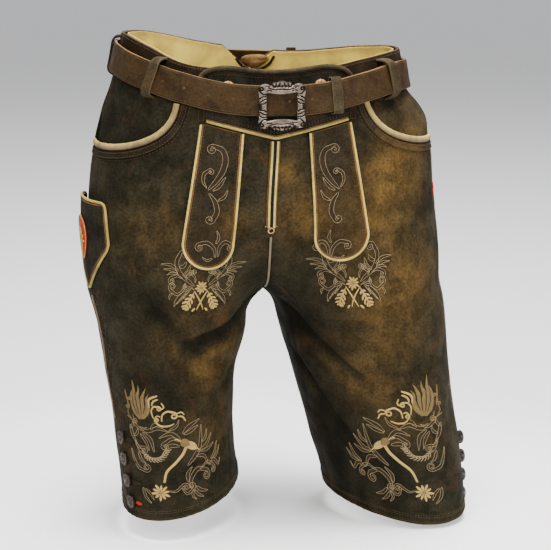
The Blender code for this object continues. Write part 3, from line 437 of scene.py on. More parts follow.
@functools.lru_cache(maxsize=None)
def panel_end_table(side, behind):
    """Heights of a panel's hem and of its upper edge, across its width."""
    u = np.linspace(0, 1, 401)
    top = np.full(u.shape, -0.04)
    for _ in range(6):
        azimuth = azimuth_of(shape(side, turn_at(side, behind, u, top), top))
        top = waist_seam(azimuth) - SEAM_GAP
        if not behind:
            top = np.minimum(top, mouth_height(side, azimuth))
    low = np.full(u.shape, HEMS[side][1])
    for _ in range(4):
        low = hem_height(side, turn_at(side, behind, u, low), low)
    return u, low, top


def panel_where(side, behind, u, v):
    """Turn and height of a panel's points: v runs from hem to waist."""
    shares, lows, tops = panel_end_table(side, behind)
    low, top = np.interp(u, shares, lows), np.interp(u, shares, tops)
    fork = fork_height(side)
    height = np.where(v < FORK_ROW, mix(low, fork, v / FORK_ROW),
                      mix(fork, top, (v - FORK_ROW) / (1 - FORK_ROW)))
    return turn_at(side, behind, u, height), height


def mouth_share(side):
    """Share of a front panel's width that lies below its pocket mouth."""
    start = math.radians(MOUTHS[side][0])
    height = waist_seam(side * start)
    return float(find(lambda u: start - np.abs(azimuth_of(
        shape(side, turn_at(side, False, u, height), height))), np.array(0.0), np.array(1.0)))


# ---------------------------------------------------------------- modelling

def clear_selection():
    if bpy.context.mode != "OBJECT":
        bpy.ops.object.mode_set(mode="OBJECT")
    bpy.ops.object.select_all(action="DESELECT")


def pick(piece):
    """Selects one piece alone and makes it the active one."""
    clear_selection()
    piece.select_set(True)
    bpy.context.view_layer.objects.active = piece


def coordinates(piece, kind="co"):
    """The places of a piece's vertices, or their directions when kind is "normal"."""
    found = np.empty(len(piece.data.vertices) * 3, np.float32)
    piece.data.vertices.foreach_get(kind, found)
    return found.reshape(-1, 3).astype(float)


def place_vertices(piece, points):
    piece.data.vertices.foreach_set("co", np.asarray(points, np.float32).ravel())
    piece.data.update()


def apply_modifier(piece, name, kind, **settings):
    modifier = piece.modifiers.new(name, kind)
    for key, value in settings.items():
        setattr(modifier, key, value)
    bpy.context.view_layer.objects.active = piece
    bpy.ops.object.modifier_apply(modifier=modifier.name)


def rounded(piece, angle=35):
    pick(piece)
    bpy.ops.object.shade_smooth_by_angle(angle=math.radians(angle))
    return piece


def closed_up(piece, angle, merge=True, fill=None):
    """Merges the points that meet, fills what is open and faces everything outwards."""
    pick(piece)
    bpy.ops.object.mode_set(mode="EDIT")
    bpy.ops.mesh.select_all(action="SELECT")
    if merge:
        bpy.ops.mesh.remove_doubles(threshold=MERGED)
    if fill is not None:
        bpy.ops.mesh.select_all(action="DESELECT")
        bpy.ops.mesh.select_non_manifold(extend=False)
        fill()
        bpy.ops.mesh.select_all(action="SELECT")
    bpy.ops.mesh.normals_make_consistent(inside=False)
    bpy.ops.object.mode_set(mode="OBJECT")
    return rounded(piece, angle)


def settle(piece, name, look, slot, nodes=()):
    """Names a finished piece, gives it its finish and ties it to the frame."""
    piece.name = piece.data.name = name
    piece.data.materials.clear()
    piece.data.materials.append(finish(look))
    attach(piece, "root")
    if nodes:
        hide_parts(*nodes)
    return piece


def add_grid(across, up):
    """A grid primitive, and the shares from 0 to 1 of its vertices."""
    clear_selection()
    bpy.ops.mesh.primitive_grid_add(x_subdivisions=across, y_subdivisions=up, size=1)
    piece = bpy.context.active_object
    shares = coordinates(piece)[:, :2] + 0.5
    return piece, np.clip(shares, 0, 1)


def add_attribute(piece, name, values):
    made = piece.data.attributes.new(name, "FLOAT", "POINT")
    made.data.foreach_set("value", np.asarray(values, np.float32))


def wrap(place, across, up, out, warp_u=None, warp_v=None, lasting=()):
    """A grid laid out on a surface; place(u, v, out) gives its points.

    Its "edge" attribute is 1 at a cut edge and falls by the distance from it.  An edge
    named in lasting, one of "u0", "u1", "v0" and "v1", is sewn and isn't a cut one.
    """
    piece, shares = add_grid(across, up)
    u = shares[:, 0] if warp_u is None else warp_u(shares[:, 0])
    v = shares[:, 1] if warp_v is None else warp_v(shares[:, 1])
    points = place(u, v, out)
    place_vertices(piece, points)
    rows = points.reshape(up + 1, across + 1, 3)
    near = np.ones(rows.shape[:2])
    for name, border in (("u0", rows[:, :1]), ("u1", rows[:, -1:]), ("v0", rows[:1]),
                         ("v1", rows[-1:])):
        if name not in lasting:
            near = np.minimum(near, np.linalg.norm(rows - border, axis=2))
    add_attribute(piece, "edge", 1 - near.ravel())
    return piece, u, v


def face_away(piece, place, u, v, out):
    """Turns the faces outwards: away from the same surface further in."""
    deeper = place(u, v, out - 0.002)
    away = ((coordinates(piece) - deeper) * coordinates(piece, "normal")).sum(1)
    if away.sum() < 0:
        pick(piece)
        bpy.ops.object.mode_set(mode="EDIT")
        bpy.ops.mesh.select_all(action="SELECT")
        bpy.ops.mesh.flip_normals()
        bpy.ops.object.mode_set(mode="OBJECT")


def shell(place, across, up, low, high, edge=0.0005, warp_u=None, warp_v=None,
          relief=None, lasting=()):
    """A sheet of leather with a thickness and softly rounded cut edges."""
    piece, u, v = wrap(place, across, up, high, warp_u, warp_v, lasting)
    face_away(piece, place, u, v, high)
    if relief is not None:
        place_vertices(piece, place(u, v, high + relief(u, v)))
    apply_modifier(piece, "thickness", "SOLIDIFY", thickness=high - low, offset=-1,
                   use_even_offset=False)
    if edge:
        apply_modifier(piece, "edge", "BEVEL", width=edge, segments=2,
                       limit_method="ANGLE", angle_limit=math.radians(50))
    return rounded(piece)


def outs_of(place, *where):
    """The directions outwards of the surface that place(..., out) lays things on."""
    return unit(place(*where, 0.01) - place(*where, 0.0))


def run_along(points):
    """The distance along a line at each of its points."""
    return np.concatenate([[0], np.cumsum(np.linalg.norm(np.diff(points, axis=0), axis=1))])


def frames(points, closed=False):
    """Directions along a line."""
    points = np.asarray(points, float)
    if closed:
        return unit(np.roll(points, -1, 0) - np.roll(points, 1, 0))
    return unit(np.gradient(points, axis=0))


def resample(points, spacing, closed=False, outs=None):
    """The line again, with points an even distance apart."""
    points = np.asarray(points, float)
    if closed:
        points = np.vstack([points, points[:1]])
        outs = None if outs is None else np.vstack([outs, outs[:1]])
    run = run_along(points)
    count = max(int(round(run[-1] / spacing)), 2)
    at = np.linspace(0, run[-1], count + 1)
    if closed:
        at = at[:-1]
    made = np.stack([np.interp(at, run, points[:, k]) for k in range(3)], -1)
    if outs is None:
        return made
    return made, unit(np.stack([np.interp(at, run, outs[:, k]) for k in range(3)], -1))


def smooth_line(points, steps=6, closed=False):
    """A smooth line through the points."""
    points = np.asarray(points, float)
    count = len(points)
    if closed:
        points = np.vstack([points[-1:], points, points[:2]])
    else:
        points = np.vstack([2 * points[:1] - points[1:2], points,
                            2 * points[-1:] - points[-2:-1]])
        count -= 1
    t = np.linspace(0, 1, steps, endpoint=False)[:, None]
    made = []
    for i in range(1, count + 1):
        a, b, c, d = points[i - 1:i + 3]
        made.append(0.5 * (2 * b + (c - a) * t + (2 * a - 5 * b + 4 * c - d) * t ** 2
                           + (3 * b - a - 3 * c + d) * t ** 3))
    if not closed:
        made.append(points[-2:-1])
    return np.vstack(made)


def sweep(centres, outs, profile, closed=False, size=None):
    """A closed profile (across, out) carried along a line by a wrapped grid."""
    centres, outs = np.asarray(centres, float), np.asarray(outs, float)
    along = frames(centres, closed)
    across = unit(np.cross(along, outs))
    outs = unit(np.cross(across, along))
    size = np.ones(len(centres)) if size is None else size
    profile = np.asarray(profile, float)
    count, sides = len(centres), len(profile)
    steps = count if closed else count - 1
    piece, shares = add_grid(sides, steps)
    k = np.round(shares[:, 0] * sides).astype(int) % sides
    i = np.round(shares[:, 1] * steps).astype(int) % count
    points = (centres[i] + across[i] * (profile[k, 0] * size[i])[:, None]
              + outs[i] * (profile[k, 1] * size[i])[:, None])
    place_vertices(piece, points)
    add_attribute(piece, "along", run_along(centres)[i])
    add_attribute(piece, "beside", profile[k, 0])
    return closed_up(piece, 40, fill=None if closed else lambda:
                     bpy.ops.mesh.fill_holes(sides=0))


def cut_edges(piece, half):
    """Marks the long edges of a swept strap as cut ones."""
    beside = np.empty(len(piece.data.vertices), np.float32)
    piece.data.attributes["beside"].data.foreach_get("value", beside)
    add_attribute(piece, "edge", 1 - (half - np.abs(beside)))


def round_profile(radius, sides=12, flat=1.0):
    angles = np.linspace(0, 2 * math.pi, sides, endpoint=False)
    return np.stack([np.cos(angles) * radius, np.sin(angles) * radius * flat], -1)


def bar_profile(wide, low, high, corner=0.0004):
    """A bar with cut corners."""
    w = wide / 2
    return ((-w + corner, low), (0, low), (w - corner, low), (w, low + corner),
            (w, high - corner), (w - corner, high), (w / 2, high), (0, high),
            (-w / 2, high), (-w + corner, high), (-w, high - corner), (-w, low + corner))


def new_piece(points, faces):
    data = bpy.data.meshes.new("threads")
    data.from_pydata(points.tolist(), [], faces)
    data.update()
    piece = bpy.data.objects.new("threads", data)
    bpy.context.scene.collection.objects.link(piece)
    return piece


def copies(pattern, spots, along, outs, sizes):
    """One mesh holding a copy of a small pattern at every spot."""
    points = coordinates(pattern) * np.asarray(sizes, float)
    loops = [list(face.vertices) for face in pattern.data.polygons]
    across = unit(np.cross(outs, along))
    outs = unit(np.cross(along, across))
    count = len(points)
    whole = (spots[:, None] + along[:, None] * points[None, :, :1]
             + across[:, None] * points[None, :, 1:2] + outs[:, None] * points[None, :, 2:])
    faces = [[k + n * count for k in face] for n in range(len(spots)) for face in loops]
    piece = new_piece(whole.reshape(-1, 3), faces)
    piece.data.shade_smooth()
    return piece


def join(pieces):
    clear_selection()
    for piece in pieces:
        piece.select_set(True)
    bpy.context.view_layer.objects.active = pieces[0]
    if len(pieces) > 1:
        bpy.ops.object.join()
    return bpy.context.view_layer.objects.active


@functools.lru_cache(maxsize=None)
def stitch_pattern():
    """One stitch, a unit long, that dips at both ends; it is copied and then hidden."""
    clear_selection()
    bpy.ops.mesh.primitive_uv_sphere_add(segments=6, ring_count=5, radius=0.5)
    piece = bpy.context.active_object
    bpy.ops.object.mode_set(mode="EDIT")
    bpy.ops.mesh.select_all(action="SELECT")
    bpy.ops.transform.rotate(value=QUARTER, orient_axis="Y", center_override=(0, 0, 0))
    bpy.ops.object.mode_set(mode="OBJECT")
    points = coordinates(piece)
    points[:, 2] += 0.35 - 1.2 * points[:, 0] ** 2
    place_vertices(piece, points)
    piece.name = "stitch_pattern"
    piece.hide_render = True
    return piece


def stitch_row(points, outs, length, pitch, thick=0.0006, lift=0.00015, closed=False):
    """A row of stitches along a line on the leather."""
    points, outs = resample(points, pitch, closed, outs)
    return copies(stitch_pattern(), points + outs * lift, frames(points, closed), outs,
                  (length, thick, thick * 0.8))


def seam_row(sizes, points, outs, **given):
    """A row of stitches of the length and the pitch that a user can change."""
    return stitch_row(points, outs, sizes.stitch_long, sizes.stitch_pitch, **given)


def ribbons(strokes):
    """Raised threads in one mesh.  A stroke is (points, outs, half widths, height)."""
    verts, faces, runs, sides = [], [], [], []
    start = 0
    for points, outs, halves, tall in strokes:
        across = unit(np.cross(frames(points), outs))
        w = np.maximum(halves, 0.00005)
        h = tall * np.minimum(1.0, 0.35 + w / 0.0012)
        ring = [points + across * (w * a)[:, None] + outs * (h * b + c)[:, None]
                for a, b, c in ((-1, 0, 0), (-0.6, 0.8, 0), (0, 1, 0), (0.6, 0.8, 0),
                                (1, 0, 0), (0, 0, -0.0002))]
        verts.append(np.stack(ring, 1).reshape(-1, 3))
        count = len(points)
        runs.append(np.repeat(run_along(points), 6))
        sides.append((w[:, None] * np.array([-1, -0.6, 0, 0.6, 1, 0])).ravel())
        k = np.arange(6)
        quad = np.stack([k, (k + 1) % 6, (k + 1) % 6 + 6, k + 6], -1)
        faces += (start + np.arange(count - 1)[:, None, None] * 6 + quad).reshape(
            -1, 4).tolist()
        faces += [[start + n for n in range(5, -1, -1)],
                  [start + (count - 1) * 6 + n for n in range(6)]]
        start += 6 * count
    piece = new_piece(np.concatenate(verts), faces)
    add_attribute(piece, "along", np.concatenate(runs))
    add_attribute(piece, "beside", np.concatenate(sides))
    return closed_up(piece, 60, merge=False)




# ---------------------------------------------------------------- finishes

def add_node(tree, kind, inputs=None, **settings):
    """Adds a shader node; an input is given a number, a colour or another's output."""
    made = tree.nodes.new("ShaderNode" + kind)
    for key, value in settings.items():
        setattr(made, key, value)
    for key, value in (inputs or {}).items():
        if isinstance(value, bpy.types.NodeSocket):
            tree.links.new(value, made.inputs[key])
        else:
            made.inputs[key].default_value = value
    return made


def calc(tree, operation, a, b=0.0, clamp=False):
    return add_node(tree, "Math", {0: a, 1: b}, operation=operation,
                    use_clamp=clamp).outputs[0]


def span(tree, value, low, high, to_low=0.0, to_high=1.0):
    return add_node(tree, "MapRange", {"Value": value, "From Min": low, "From Max": high,
                                       "To Min": to_low, "To Max": to_high},
                    interpolation_type="SMOOTHSTEP").outputs[0]


def tint(tree, share, a, b, kind="MIX"):
    """Mixes two colours."""
    def whole(colour):
        return colour if isinstance(colour, bpy.types.NodeSocket) else (*colour[:3], 1)
    return add_node(tree, "Mix", {0: share, 6: whole(a), 7: whole(b)}, data_type="RGBA",
                    blend_type=kind).outputs[2]


def noise(tree, vector, scale, detail=2.0, rough=0.5, distortion=0.0):
    return add_node(tree, "TexNoise", {"Vector": vector, "Scale": scale, "Detail": detail,
                                       "Roughness": rough,
                                       "Distortion": distortion}).outputs["Fac"]


def times(tree, a, b):
    return calc(tree, "MULTIPLY", a, b)


def attribute(tree, name):
    return add_node(tree, "Attribute", attribute_name=name).outputs["Fac"]


def place_of(tree):
    return add_node(tree, "TexCoord").outputs["Object"]


def sized_place(tree, given):
    """The place on the object, scaled by the group's own Size."""
    return add_node(tree, "VectorMath", {0: place_of(tree), "Scale": given.outputs["Size"]},
                    operation="SCALE").outputs[0]


def new_group(name, inputs, outputs):
    tree = bpy.data.node_groups.new(name, "ShaderNodeTree")
    for label, value in inputs:
        socket = tree.interface.new_socket(name=label, in_out="INPUT",
                                           socket_type="NodeSocketFloat")
        socket.default_value = value
    for label in outputs:
        tree.interface.new_socket(name=label, in_out="OUTPUT", socket_type="NodeSocketFloat")
    return tree, tree.nodes.new("NodeGroupInput"), tree.nodes.new("NodeGroupOutput")


def give(tree, out, **values):
    """Links a group's outputs."""
    for label, value in values.items():
        tree.links.new(value, out.inputs[label])
    return tree


def place_group(tree, group, **inputs):
    made = tree.nodes.new("ShaderNodeGroup")
    made.node_tree = group
    for key, value in inputs.items():
        made.inputs[key.replace("_", " ")].default_value = value
    return made.outputs


@functools.lru_cache(maxsize=None)
def mottling_group():
    """Antiqued hide: clouds a hand wide, patches, fine grain and the nap's height."""
    tree, given, out = new_group("Hide mottling", (("Size", 1.0), ("Nap", 1.0)),
                                 ("Cloud", "Patch", "Grain", "Height"))
    where = sized_place(tree, given)
    cloud = span(tree, noise(tree, where, 11.0, 3.0, 0.55, 0.7), 0.32, 0.70)
    patch = span(tree, noise(tree, where, 38.0, 4.0, 0.62, 0.4), 0.30, 0.72)
    grain = noise(tree, where, 330.0, 3.0, 0.65)
    nap = noise(tree, where, 950.0, 2.0, 0.6)
    wrinkle = noise(tree, where, 85.0, 3.0, 0.5, 0.8)
    height = calc(tree, "ADD", times(tree, nap, given.outputs["Nap"]),
                  times(tree, wrinkle, 1.6))
    height = calc(tree, "ADD", height, times(tree, grain, 0.8))
    return give(tree, out, Cloud=cloud, Patch=patch, Grain=grain, Height=height)


@functools.lru_cache(maxsize=None)
def edge_group():
    """Where a cut edge shows the bare leather, broken up by wear."""
    tree, given, out = new_group("Cut edge", (("Width", 0.0006),), ("Mask",))
    ragged = span(tree, noise(tree, place_of(tree), 160.0, 3.0), 0.2, 0.8, 0.5, 1.5)
    width = times(tree, given.outputs["Width"], ragged)
    off = calc(tree, "SUBTRACT", 1.0, attribute(tree, "edge"))
    share = calc(tree, "SUBTRACT", 1.25, calc(tree, "DIVIDE", off, width), True)
    return give(tree, out, Mask=share)


@functools.lru_cache(maxsize=None)
def twist_group():
    """Twisted or laid thread: the strands' height and their light and dark."""
    tree, given, out = new_group("Laid thread", (("Pitch", 0.0009), ("Slant", 1.0)),
                                 ("Height", "Shade"))
    slant = times(tree, attribute(tree, "beside"), given.outputs["Slant"])
    run = calc(tree, "DIVIDE", calc(tree, "ADD", attribute(tree, "along"), slant),
               given.outputs["Pitch"])
    wave = calc(tree, "SINE", times(tree, run, 2 * math.pi))
    height = times(tree, calc(tree, "ADD", wave, 1.0), 0.5)
    soft = noise(tree, place_of(tree), 260.0, 2.0)
    shade = calc(tree, "ADD", times(tree, height, 0.45), times(tree, soft, 0.75), True)
    return give(tree, out, Height=height, Shade=shade)


@functools.lru_cache(maxsize=None)
def crease_group():
    """Fine creases across soft rolled leather, and its rubbed and soiled places."""
    tree, given, out = new_group("Creased leather", (("Size", 1.0),), ("Height", "Soil"))
    where = sized_place(tree, given)
    cracks = add_node(tree, "TexVoronoi", {"Vector": where, "Scale": 420.0},
                      feature="SMOOTH_F1").outputs["Distance"]
    soft = noise(tree, where, 120.0, 4.0, 0.6)
    height = calc(tree, "ADD", times(tree, cracks, 0.8), soft)
    soil = span(tree, noise(tree, where, 42.0, 4.0, 0.6, 0.5), 0.38, 0.75)
    return give(tree, out, Height=height, Soil=soil)


def new_material(name, roughness=0.8, metallic=0.0, **constants):
    """A material and its nodes; constants go on the Principled shader's sockets."""
    material = bpy.data.materials.new(name)
    material.use_nodes = True
    tree = material.node_tree
    for key, value in {"Roughness": roughness, "Metallic": metallic, **constants}.items():
        socket = tree.nodes["Principled BSDF"].inputs[key.replace("_", " ")]
        socket.default_value = value
    return material, tree


def dress(material, colour, share, low, high, height=None, distance=0.0):
    """Links the colour, the roughness from low to high over a share, and the relief."""
    tree = material.node_tree
    sockets = tree.nodes["Principled BSDF"].inputs
    tree.links.new(colour, sockets["Base Color"])
    tree.links.new(span(tree, share, 0.0, 1.0, low, high), sockets["Roughness"])
    if height is not None:
        bump = add_node(tree, "Bump", {"Height": height, "Distance": distance,
                                       "Strength": 1.0})
        tree.links.new(bump.outputs[0], sockets["Normal"])
    return material


def speckled(tree, colour, value, low, high, dark=0.62, light=1.45):
    """The colour with a fine grain of lighter and darker flecks."""
    fleck = span(tree, value, low, high, dark, light)
    return tint(tree, 1.0, colour, add_node(tree, "CombineColor", {
        0: fleck, 1: fleck, 2: fleck}).outputs[0], "MULTIPLY")


def scaled(colour, factor):
    """A colour made lighter or darker by one factor, or by one for each channel."""
    return tuple(float(c) for c in np.multiply(colour, factor))


def suede(name, dark, middle, light, gold_and_highlight, rust, bare, size=1.0, relief=0.00035):
    """Antiqued suede: dark clouds, rubbed lights, and golden and rusty places, with painted
    highlight and painted shade carried in its two tone attributes.
    """
    material, tree = new_material(name, 0.85, Specular_IOR_Level=0.05)
    hide = place_group(tree, mottling_group(), Size=size)
    colour = tint(tree, hide["Cloud"], dark, middle)
    colour = tint(tree, times(tree, hide["Patch"], 0.6), colour, light)
    rusty = span(tree, noise(tree, place_of(tree), 27.0, 3.0, 0.6, 0.6), 0.52, 0.82, 0.0,
                 0.65)
    colour = tint(tree, rusty, colour, rust)
    # Golden places, and painted highlight on the swells below creases, from the golden tone
    # attribute.
    warm = times(tree, attribute(tree, "gold_and_highlight"),
                 span(tree, hide["Patch"], 0.0, 1.0, 0.42, 1.0))
    colour = tint(tree, warm, colour, gold_and_highlight)
    # Darker on the hide's dark patches and in painted shade, from the shade attribute.
    deep = times(tree, attribute(tree, "shade"),
                 span(tree, hide["Cloud"], 0.0, 1.0, 1.0, 0.7))
    colour = tint(tree, deep, colour, scaled(dark, 0.7))
    colour = speckled(tree, colour, hide["Grain"], 0.25, 0.75)
    edge = place_group(tree, edge_group(), Width=0.0006)
    colour = tint(tree, edge["Mask"], colour, bare)
    return dress(material, colour, hide["Patch"], 0.92, 0.74, hide["Height"], relief)


def smooth_leather(name, dark, light, bare, roughness=0.5, size=1.0, width=0.0007):
    """Finished leather, with rubbed lights, darker pores and a bare cut edge."""
    material, tree = new_material(name, roughness, Specular_IOR_Level=0.05)
    hide = place_group(tree, mottling_group(), Size=size, Nap=0.4)
    crease = place_group(tree, crease_group(), Size=1.0)
    colour = tint(tree, hide["Patch"], dark, light)
    colour = tint(tree, times(tree, crease["Soil"], 0.45), colour, scaled(dark, 0.5))
    colour = speckled(tree, colour, hide["Grain"], 0.25, 0.75, 0.75, 1.25)
    edge = place_group(tree, edge_group(), Width=width)
    colour = tint(tree, edge["Mask"], colour, bare)
    return dress(material, colour, hide["Patch"], roughness + 0.12, roughness - 0.08,
                 calc(tree, "ADD", hide["Height"], crease["Height"]), 0.00025)


def rolled_leather(name, light, soil_and_shade):
    """The soft pale leather of pipings and rolls, soiled in places, with painted shade on its
    under sides.
    """
    material, tree = new_material(name, 0.6, Specular_IOR_Level=0.12)
    crease = place_group(tree, crease_group(), Size=1.0)
    colour = tint(tree, times(tree, crease["Soil"], 0.75), light, soil_and_shade)
    # Painted shade on the under sides that shade_below marks.
    colour = tint(tree, times(tree, attribute(tree, "shade"), 0.8), colour,
                  scaled(soil_and_shade, (0.35, 0.35, 0.6)))
    colour = speckled(tree, colour, crease["Height"], 0.5, 1.4, 0.78, 1.12)
    return dress(material, colour, crease["Soil"], 0.5, 0.75, crease["Height"], 0.00035)


def cotton(name, light, dark):
    """Twill lining: a fine slanting weave with soft washed shading, and painted shade where
    its shade attribute is set.
    """
    material, tree = new_material(name, 0.85, Specular_IOR_Level=0.1)
    where = place_of(tree)
    turned = add_node(tree, "Mapping", {"Vector": where, "Rotation": (0.5, 0.6, 0.7)})
    weave = add_node(tree, "TexWave", {"Vector": turned.outputs[0], "Scale": 520.0,
                                       "Distortion": 1.2, "Detail": 1.0}).outputs["Fac"]
    wash = span(tree, noise(tree, where, 24.0, 4.0, 0.6, 0.4), 0.3, 0.75)
    colour = tint(tree, times(tree, wash, 0.8), light, dark)
    colour = speckled(tree, colour, weave, 0.0, 1.0, 0.9, 1.04)
    # Painted shade from the shade attribute.
    colour = tint(tree, attribute(tree, "shade"), colour, dark)
    return dress(material, colour, wash, 0.8, 0.95, weave, 0.0002)


def thread(name, light, dark, pitch=0.0009, slant=1.0):
    """Twisted thread, or threads laid side by side."""
    material, tree = new_material(name, 0.65, Specular_IOR_Level=0.04)
    laid = place_group(tree, twist_group(), Pitch=pitch, Slant=slant)
    return dress(material, tint(tree, laid["Shade"], dark, light), laid["Shade"], 0.7, 0.42,
                 laid["Height"], 0.0003)


def metal(name, bright, dark, roughness=0.34):
    """Cast metal with dark in its hollows and worn, brighter tops."""
    material, tree = new_material(name, roughness, 1.0)
    where = place_of(tree)
    worn = span(tree, noise(tree, where, 130.0, 4.0, 0.6, 0.3), 0.3, 0.75)
    share = times(tree, span(tree, worn, 0.0, 1.0, 0.7, 1.3), attribute(tree, "high"))
    return dress(material, tint(tree, share, dark, bright), worn, roughness + 0.16,
                 roughness - 0.06, noise(tree, where, 700.0, 3.0), 0.00012)


def horn(name, light, dark):
    """Polished horn with long streaks."""
    material, tree = new_material(name, 0.28, Coat_Weight=0.3)
    streaks = add_node(tree, "TexWave", {"Vector": place_of(tree), "Scale": 90.0,
                                         "Distortion": 6.0, "Detail": 3.0}).outputs["Fac"]
    return dress(material, tint(tree, streaks, dark, light), streaks, 0.36, 0.22, streaks,
                 0.0001)


def backdrop_paper(name, near, far):
    """Paper with painted light: pale in a painted pool of light round the object, darker with
    painted shade further out, and pale again far away.
    """
    material, tree = new_material(name, 0.9, Specular_IOR_Level=0.1)
    where = place_of(tree)
    parts = add_node(tree, "SeparateXYZ", {"Vector": where}).outputs
    run = calc(tree, "SQRT", calc(tree, "ADD", calc(tree, "POWER", parts["X"], 2.0),
                                  calc(tree, "POWER", parts["Y"], 2.0)))
    # Painted pool of light near the object and painted shade out to a few metres.
    share = times(tree, span(tree, run, 0.1, 0.65), span(tree, run, 2.9, 5.4, 1.0, 0.0))
    return dress(material, tint(tree, share, near, far), noise(tree, where, 3.0, 2.0),
                 0.85, 0.95)


def build_finishes(colours):
    """The materials, by name, from the colours a user can change."""
    olive, dark, gold_and_highlight, brown, cream, tan, lining, pale, bronze, cast, paper = (
        tuple(getattr(colours, name)) for name in (
            "olive", "dark_olive", "antique_gold", "brown", "cream", "tan", "lining",
            "pale_thread", "bronze_thread", "pewter", "backdrop"))
    rust, umber = (0.052, 0.0250, 0.0095), (0.026, 0.0195, 0.0105)
    laid = (0.0011, 0.8)
    return {
        "suede": suede("mottled_suede", scaled(olive, (0.36, 0.44, 0.46)), olive,
                       scaled(olive, 1.8), gold_and_highlight, rust, tan),
        "dark": suede("dark_suede", scaled(dark, 0.55), dark, scaled(dark, 2.0), gold_and_highlight, rust,
                      (0.030, 0.022, 0.012), 1.4),
        "tab": suede("tab_suede", (0.0095, 0.0072, 0.0042), (0.0150, 0.0112, 0.0060),
                     umber, gold_and_highlight, rust, tan, 1.4),
        "loop": suede("loop_suede", (0.016, 0.012, 0.007), umber, (0.052, 0.039, 0.020),
                      gold_and_highlight, rust, (0.070, 0.050, 0.025), 1.6),
        "brown": smooth_leather("waxed_leather", scaled(brown, 0.38), scaled(brown, 0.95),
                                (0.040, 0.024, 0.011), 0.6),
        "belt": smooth_leather("belt_leather", (0.0145, 0.0080, 0.0034),
                               (0.0440, 0.0255, 0.0100), (0.110, 0.066, 0.026), 0.5, 1.1,
                               0.0005),
        "tan": smooth_leather("tan_leather", scaled(tan, 0.6), scaled(tan, 1.2), tan, 0.6,
                              1.5),
        "cream": rolled_leather("cream_leather", cream, scaled(cream, 0.5)),
        "roll": rolled_leather("roll_leather", (0.40, 0.29, 0.088), (0.15, 0.10, 0.055)),
        "cord": rolled_leather("soiled_cream_leather", scaled(cream, 0.62),
                               scaled(cream, 0.30)),
        "worn": rolled_leather("worn_leather", (0.165, 0.125, 0.082), (0.09, 0.062, 0.036)),
        "lining": cotton("lining_twill", lining, scaled(lining, (0.52, 0.45, 0.6))),
        "tape": cotton("fly_tape", (0.012, 0.013, 0.015), (0.006, 0.006, 0.007)),
        "pale": thread("pale_thread", pale, scaled(pale, 0.5), *laid),
        "plume": thread("plume_thread", (0.175, 0.118, 0.046), (0.085, 0.056, 0.022), *laid),
        "red": thread("red_thread", (0.42, 0.025, 0.012), (0.17, 0.008, 0.005), *laid),
        "bronze": thread("bronze_thread", bronze, scaled(bronze, 0.5)),
        "ground": thread("brown_thread", (0.034, 0.022, 0.013), (0.017, 0.011, 0.007)),
        "olive_thread": thread("olive_thread", (0.034, 0.024, 0.014), (0.016, 0.011, 0.007)),
        "gold_thread": thread("gold_thread", (0.42, 0.26, 0.045), (0.18, 0.09, 0.018)),
        "seam_thread": thread("seam_thread", (0.085, 0.056, 0.026), (0.03, 0.019, 0.009)),
        "pewter": metal("cast_pewter", cast, scaled(cast, 0.07)),
        "struck": metal("struck_pewter", scaled(cast, (0.22, 0.18, 0.16)),
                        scaled(cast, 0.06)),
        "brass": metal("old_brass", (0.45, 0.28, 0.10), (0.12, 0.07, 0.025)),
        "horn": horn("polished_horn", (0.42, 0.19, 0.045), (0.16, 0.06, 0.015)),
        "paper": backdrop_paper("backdrop_paper", paper, scaled(paper, 0.66)),
    }


FINISHES = {}


def finish(name):
    if not FINISHES:
        FINISHES.update(build_finishes(bpy.context.scene.lederhosen_colours))
    return FINISHES[name]


# ---------------------------------------------------------------- leather pieces

# Patches of antique gold (above 0) and of dark (below 0): x, height, radius, strength. The row
# of dark patches from (0.036, -0.290) to (0.068, -0.440) is painted shade down the left leg's
# inner front, where it turns away from the light.
FRONT_PATCHES = (
    (0.130, -0.112, 0.036, 0.85), (0.115, -0.165, 0.040, 0.50), (0.125, -0.250, 0.045, 0.42),
    (0.030, -0.150, 0.030, 0.60), (0.120, -0.360, 0.030, 0.25), (-0.070, -0.322, 0.026, 0.40),
    (-0.048, -0.155, 0.018, 0.45), (-0.130, -0.170, 0.038, 0.25),
    (-0.085, -0.250, 0.030, 0.25), (-0.120, -0.295, 0.022, 0.30), (0.150, -0.400, 0.030, 0.25),
    (-0.060, -0.405, 0.028, 0.30), (0.095, -0.330, 0.030, 0.25), (0.012, -0.100, 0.014, 0.55),
    (0.165, -0.225, 0.030, 0.45), (-0.160, -0.070, 0.040, -0.75), (0.158, -0.075, 0.030, 0.30),
    (0.035, -0.268, 0.026, -0.60), (-0.020, -0.235, 0.022, -0.40),
    (0.075, -0.300, 0.028, -0.35), (-0.135, -0.345, 0.030, -0.40),
    (-0.062, -0.325, 0.020, 0.35), (-0.088, -0.345, 0.020, 0.35), (0.138, -0.300, 0.040, 0.30),
    (-0.126, -0.285, 0.035, -0.55), (-0.109, -0.363, 0.040, -0.50),
    (0.036, -0.290, 0.022, -0.70), (0.048, -0.340, 0.024, -0.70),
    (0.058, -0.390, 0.024, -0.70), (0.068, -0.440, 0.026, -0.60),
    (0.100, -0.430, 0.050, -0.50), (0.090, -0.385, 0.035, -0.30),
    (0.140, -0.470, 0.045, -0.55), (-0.110, -0.470, 0.045, -0.35),
    (0.050, -0.210, 0.024, -0.25), (0.085, -0.455, 0.030, -0.40),
    (-0.155, -0.245, 0.030, -0.35), (0.155, -0.330, 0.030, -0.30),
)
BACK_PATCHES = (
    (0.090, -0.120, 0.050, 0.60), (-0.090, -0.130, 0.050, 0.55), (0.120, -0.300, 0.040, 0.40),
    (-0.100, -0.320, 0.040, 0.45), (-0.150, -0.080, 0.030, -0.50),
    (0.150, -0.080, 0.030, -0.50), (0.060, -0.250, 0.030, -0.50),
    (-0.050, -0.250, 0.030, -0.50), (0.140, -0.460, 0.045, -0.45),
    (-0.100, -0.460, 0.045, -0.40), (0.000, -0.160, 0.020, -0.35),
)


